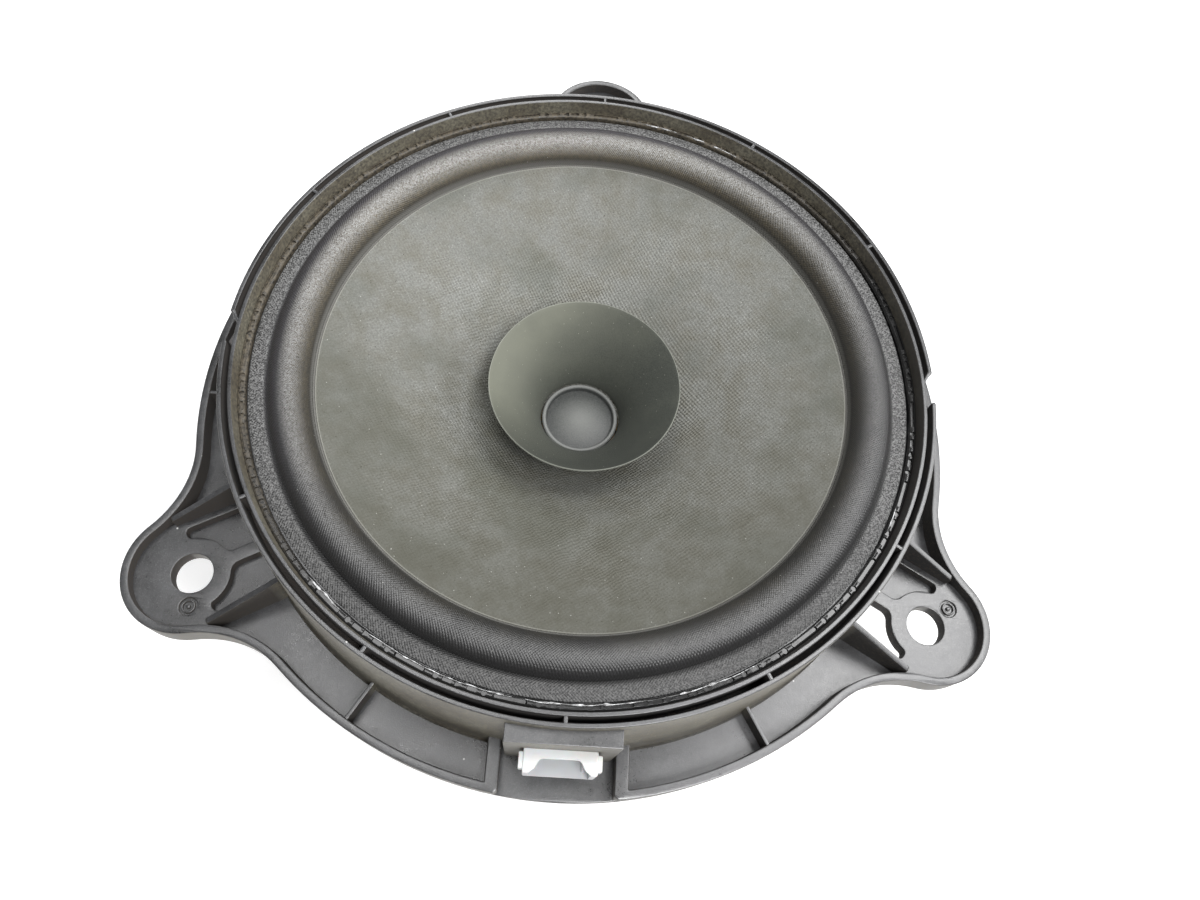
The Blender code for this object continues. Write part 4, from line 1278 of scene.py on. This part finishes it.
def whizzer_paper():
    """Dark greenish paper, painted paler on its left and far side as dust and painted light, painted darker
    on its near side and towards its neck as shade, with a pale cut edge.
    """
    look = Finish("whizzer_paper_finish", IOR=1.45)
    x, y, _, radius, _ = look.axes()
    fibres = look.noise(0.35, 4.0, 0.75)
    patches = look.noise(9.0, 4.0, 0.6)
    # Dust and painted light: the left and far side is painted paler, less so towards the neck, where the
    # light falls on it.
    dust_with_painted_light = (y * 0.35 - x).remap(-14.0, 18.0) + patches.remap(0.3, 0.7, -0.15, 0.15)
    dust_with_painted_light = dust_with_painted_light * radius.remap(CAP_R + 1.0, WHIZZER_R - 2.0, 0.35, 1.0)
    colour = look.mix(fibres.remap(0.3, 0.7), (0.035, 0.04, 0.034), (0.085, 0.09, 0.078))
    colour = look.mix(dust_with_painted_light, colour, (0.15, 0.155, 0.123))
    # Painted shade: the near side is painted darker.
    colour = look.mix(y.remap(-3.0, -WHIZZER_R + 3.0, 0.0, 0.8), colour, (0.03, 0.033, 0.028))
    colour = look.mix(look.flecks(0.8, 0.16, 0.16) * 0.6, colour, (0.4, 0.4, 0.34))
    cut_edge = radius.remap(WHIZZER_R - 0.3, WHIZZER_R - 0.2, 0.0, 0.6)
    colour = look.mix(cut_edge, colour, (0.3, 0.31, 0.27))
    look.relief(fibres, 0.06)
    return look.done(colour, fibres.remap(0.3, 0.7, 0.45, 0.75))


def cap_paper():
    """Lacquered grey paper, painted paler on the crown of its dome and on its rim as highlights."""
    look = Finish("cap_paper_finish", IOR=1.5)
    _, _, _, radius, _ = look.axes()
    fibres = look.noise(0.35, 4.0, 0.7)
    colour = look.mix(fibres.remap(0.3, 0.7), (0.035, 0.038, 0.037), (0.08, 0.083, 0.08))
    # Painted highlight: the crown of the dome is painted paler, leaving the dome's edge dark.
    crown = radius.remap(CAP_BASE_R - 1.2, 1.0, 0.0, 0.85) + fibres.remap(0.3, 0.7, -0.1, 0.1)
    colour = look.mix(crown, colour, (0.165, 0.17, 0.16))
    # Painted highlight: the top of the rim is painted pale.
    rim = radius.remap(CAP_BASE_R + 0.1, CAP_BASE_R + 0.5, 0.0, 0.6)
    colour = look.mix(rim, colour, (0.24, 0.245, 0.235))
    look.relief(fibres, 0.05)
    return look.done(colour, fibres.remap(0.3, 0.7, 0.38, 0.55))


def spider_cloth():
    """Resin-dipped cotton in a plain weave."""
    look = Finish("spider_cloth_finish", IOR=1.45)
    x, y, _, _, _ = look.axes()
    weave = cloth_emboss(look, x, y, 0.9, 45.0)
    colour = look.mix(weave, (0.28, 0.17, 0.06), (0.55, 0.4, 0.19))
    colour = look.mix(look.noise(8.0, 3.0).remap(0.45, 0.7, 0.0, 0.5), colour, (0.3, 0.2, 0.09))
    look.relief(weave, 0.12)
    return look.done(colour, weave.remap(0.0, 1.0, 0.7, 0.5))


def former_paper():
    look = Finish("former_paper_finish", IOR=1.45)
    fibres = look.noise(0.8, 4.0, 0.7)
    colour = look.mix(fibres, (0.24, 0.14, 0.05), (0.45, 0.3, 0.14))
    look.relief(fibres, 0.03)
    return look.done(colour, fibres.remap(0.3, 0.7, 0.45, 0.7))


def mottled_metal(name, blotches, blend, dull, bright, gloss, grain=None):
    """Bare metal with soft blotches. Its grain is the size, detail and depth of its relief."""
    look = Finish(name, Metallic=1.0)
    tone = look.noise(*blotches)
    colour = look.mix(tone.remap(*blend), dull, bright)
    if grain:
        size, detail, depth = grain
        look.relief(look.noise(size, detail), depth)
    return look.done(colour, tone.remap(0.3, 0.7, *gloss))


def coil_copper():
    dull, bright = (0.45, 0.17, 0.06), (0.72, 0.33, 0.14)
    grain = (0.4, 2.0, 0.01)
    return mottled_metal("coil_copper_finish", (2.0, 3.0), (0.35, 0.65), dull, bright, (0.22, 0.4), grain)


def solder_tin():
    dull, bright = (0.42, 0.41, 0.39), (0.68, 0.67, 0.64)
    grain = (0.7, 3.0, 0.03)
    return mottled_metal("solder_finish", (0.7, 3.0), (0.4, 0.65), dull, bright, (0.2, 0.42), grain)


def tinned_metal():
    dull, bright = (0.5, 0.49, 0.46), (0.72, 0.71, 0.68)
    blotches, grain = (1.4, 4.0, 0.6), (0.5, 3.0, 0.012)
    return mottled_metal("tinned_metal_finish", blotches, (0.4, 0.65), dull, bright, (0.24, 0.46), grain)


def tinsel_braid():
    dull, bright = (0.4, 0.22, 0.12), (0.75, 0.52, 0.36)
    return mottled_metal("tinsel_braid_finish", (0.5, 3.0), (0.35, 0.65), dull, bright, (0.3, 0.5))


def zinc_steel():
    """Zinc-plated steel: fine turning marks round the axis, dull patches and a few rust-brown specks."""
    look = Finish("zinc_steel_finish", Metallic=1.0)
    _, _, z, radius, _ = look.axes()
    grooves = (radius * 9.0 + z * 9.0) * MM
    turned = look.noise(2.2, 2.0, place=look.add("ShaderNodeCombineXYZ", {0: grooves}).outputs[0])
    patches = look.noise(12.0, 5.0, 0.6)
    colour = look.mix(patches.remap(0.35, 0.68), (0.5, 0.49, 0.45), (0.33, 0.33, 0.31))
    colour = look.mix(look.flecks(3.0, 0.2, 0.14) * 0.7, colour, (0.2, 0.11, 0.05))
    look.relief(turned, 0.03)
    return look.done(colour, patches.remap(0.3, 0.7, 0.28, 0.5) + turned.remap(0.3, 0.7, -0.05, 0.05))


def ferrite():
    """Fired ferrite: charcoal, matt, with tiny pores and pale dust scuffed into it."""
    look = Finish("ferrite_finish", IOR=1.6)
    fine = look.noise(0.5, 4.0, 0.7)
    patches = look.noise(9.0, 4.0, 0.6)
    colour = look.mix(fine.remap(0.3, 0.7), (0.02, 0.02, 0.022), (0.05, 0.05, 0.053))
    colour = look.mix(patches.remap(0.5, 0.75, 0.0, 0.6), colour, (0.1, 0.1, 0.1))
    look.relief(fine, 0.05)
    look.relief(look.flecks(1.4, 0.35, 0.2), -0.06)
    return look.done(colour, patches.remap(0.3, 0.7, 0.5, 0.75))


def socket_plastic():
    """White nylon with slight yellowing and grey handling marks, painted grey below its top edge as the
    shade inside the socket.
    """
    look = Finish("socket_plastic_finish", IOR=1.53, Subsurface_Weight=0.15, Subsurface_Scale=0.6 * MM)
    _, _, z, _, _ = look.axes()
    tone = look.noise(5.0, 4.0, 0.6)
    colour = look.mix(tone.remap(0.4, 0.7), (0.76, 0.775, 0.79), (0.7, 0.7, 0.66))
    colour = look.mix(look.flecks(1.8, 0.12, 0.12) * 0.6, colour, (0.25, 0.24, 0.22))
    top = high_of("socket_housing")[2]
    # Painted shade: from about 1.3 mm below the top down, the nylon is painted grey for the shaded inside
    # of the socket.
    colour = look.mix(z.remap(top - 1.3, top - 2.0, 0.0, 0.75), colour, (0.42, 0.43, 0.45))
    look.relief(look.noise(0.6, 3.0), 0.012)
    return look.done(colour, tone.remap(0.3, 0.7, 0.32, 0.5))


def floor_card():
    look = Finish("floor_finish", Emission_Color=(1.0, 1.0, 1.0, 1.0), Emission_Strength=0.3)
    colour = look.mix(look.noise(60.0, 2.0), (0.93, 0.93, 0.93), (0.95, 0.95, 0.95))
    return look.done(colour, 0.9)


# ---------------------------------------------------------------- assembly


def dress(piece, material, node, body=FRAME):
    """Gives a piece its material and its body unless it bends, and hides the CAD node it stands for."""
    piece.data.materials.clear()
    piece.data.materials.append(material)
    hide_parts(node)
    if body:
        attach(piece, body)


def build_speaker():
    """Every piece, from the frame's to those that move, with its material and its body, and the CAD node it
    stands for hidden.
    """
    dress(make_basket(), basket_plastic(), "basket")
    dress(make_surround(), surround_rubber(), "surround", None)
    dress(make_bead(), swaged_plastic(), "edge_glue_bead")
    glue = dried_glue()
    for number, (start, end) in enumerate(GLUE_RUNS, 1):
        dress(make_glue(number, start, end), glue, "edge_glue_bead")
    dress(make_cone(), cone_paper(), "cone", MOVING)
    dress(make_whizzer(), whizzer_paper(), "whizzer_cone", MOVING)
    dress(make_dust_cap(), cap_paper(), "dust_cap", MOVING)
    dress(make_former(), former_paper(), "voice_coil_former", MOVING)
    dress(make_coil(), coil_copper(), "voice_coil", MOVING)
    dress(make_spider(), spider_cloth(), "spider", None)
    solder, tin, steel, braid = solder_tin(), tinned_metal(), zinc_steel(), tinsel_braid()
    for number in (1, 2):
        dress(make_solder_pad(number), solder, f"coil_solder_pad_{number}", MOVING)
        dress(make_lead(number), braid, f"tinsel_lead_{number}", None)
        dress(make_pin(number), tin, f"terminal_pin_{number}")
    dress(make_housing(), socket_plastic(), "socket_housing")
    dress(make_magnet(), ferrite(), "magnet")
    dress(make_yoke(), steel, "pole_yoke")
    dress(make_top_plate(), steel, "top_plate")
    for number in range(1, RIVET_COUNT + 1):
        dress(make_rivet(number), tin, f"motor_rivet_{number}")


# ---------------------------------------------------------------- studio

CAMERA_PLACE = (-7.7, -104.1, 246.7)
CAMERA_RIGHT = (0.99485, 0.04969, 0.08831)
CAMERA_UP = (-0.08198, 0.90694, 0.41320)
CAMERA_BACK = (-0.05956, -0.41832, 0.90635)
FOCAL_LENGTH = 26.0


def place_camera():
    data = bpy.data.cameras.new("camera")
    data.lens = FOCAL_LENGTH
    data.sensor_width = 36.0
    data.clip_start = 0.005
    camera = bpy.data.objects.new("camera", data)
    bpy.context.scene.collection.objects.link(camera)
    turn = Matrix((CAMERA_RIGHT, CAMERA_UP, CAMERA_BACK)).transposed().to_4x4()
    camera.matrix_world = Matrix.Translation(Vector(CAMERA_PLACE) * MM) @ turn
    bpy.context.scene.camera = camera


def soft_light(name, place, size, power):
    """A square light that faces the speaker."""
    data = bpy.data.lights.new(name, "AREA")
    data.shape = "SQUARE"
    data.size = size
    data.energy = power
    light = bpy.data.objects.new(name, data)
    light.location = place
    light.rotation_euler = Vector(place).to_track_quat("Z", "Y").to_euler()
    bpy.context.scene.collection.objects.link(light)


def light_studio():
    world = bpy.data.worlds.new("studio")
    world.use_nodes = True
    backdrop = world.node_tree.nodes["Background"]
    backdrop.inputs["Color"].default_value = (1.0, 1.0, 1.0, 1.0)
    backdrop.inputs["Strength"].default_value = 0.22
    bpy.context.scene.world = world
    soft_light("key", (0.22, -0.42, 0.88), 0.35, 6.5)
    soft_light("side", (0.85, 0.1, 0.45), 0.5, 4.0)
    soft_light("sheen_right", (0.42, 0.2, 0.88), 0.38, 4.4)
    soft_light("overhead", (-0.16, 0.12, 0.98), 0.34, 2.2)
    soft_light("far", (-0.05, 0.72, 0.69), 0.35, 2.5)


def lay_floor():
    """A large pale sheet under the speaker."""
    work = bmesh.new()
    bmesh.ops.create_grid(work, x_segments=8, y_segments=8, size=3000.0)
    bmesh.ops.translate(work, vec=(0.0, 0.0, -0.05), verts=work.verts)
    floor = new_object("floor", work)
    floor.data.materials.append(floor_card())


def write_sizes():
    bpy.context.view_layer.update()


place_camera()
light_studio()
lay_floor()
build_speaker()
bpy.context.scene.view_settings.view_transform = "Standard"
write_sizes()
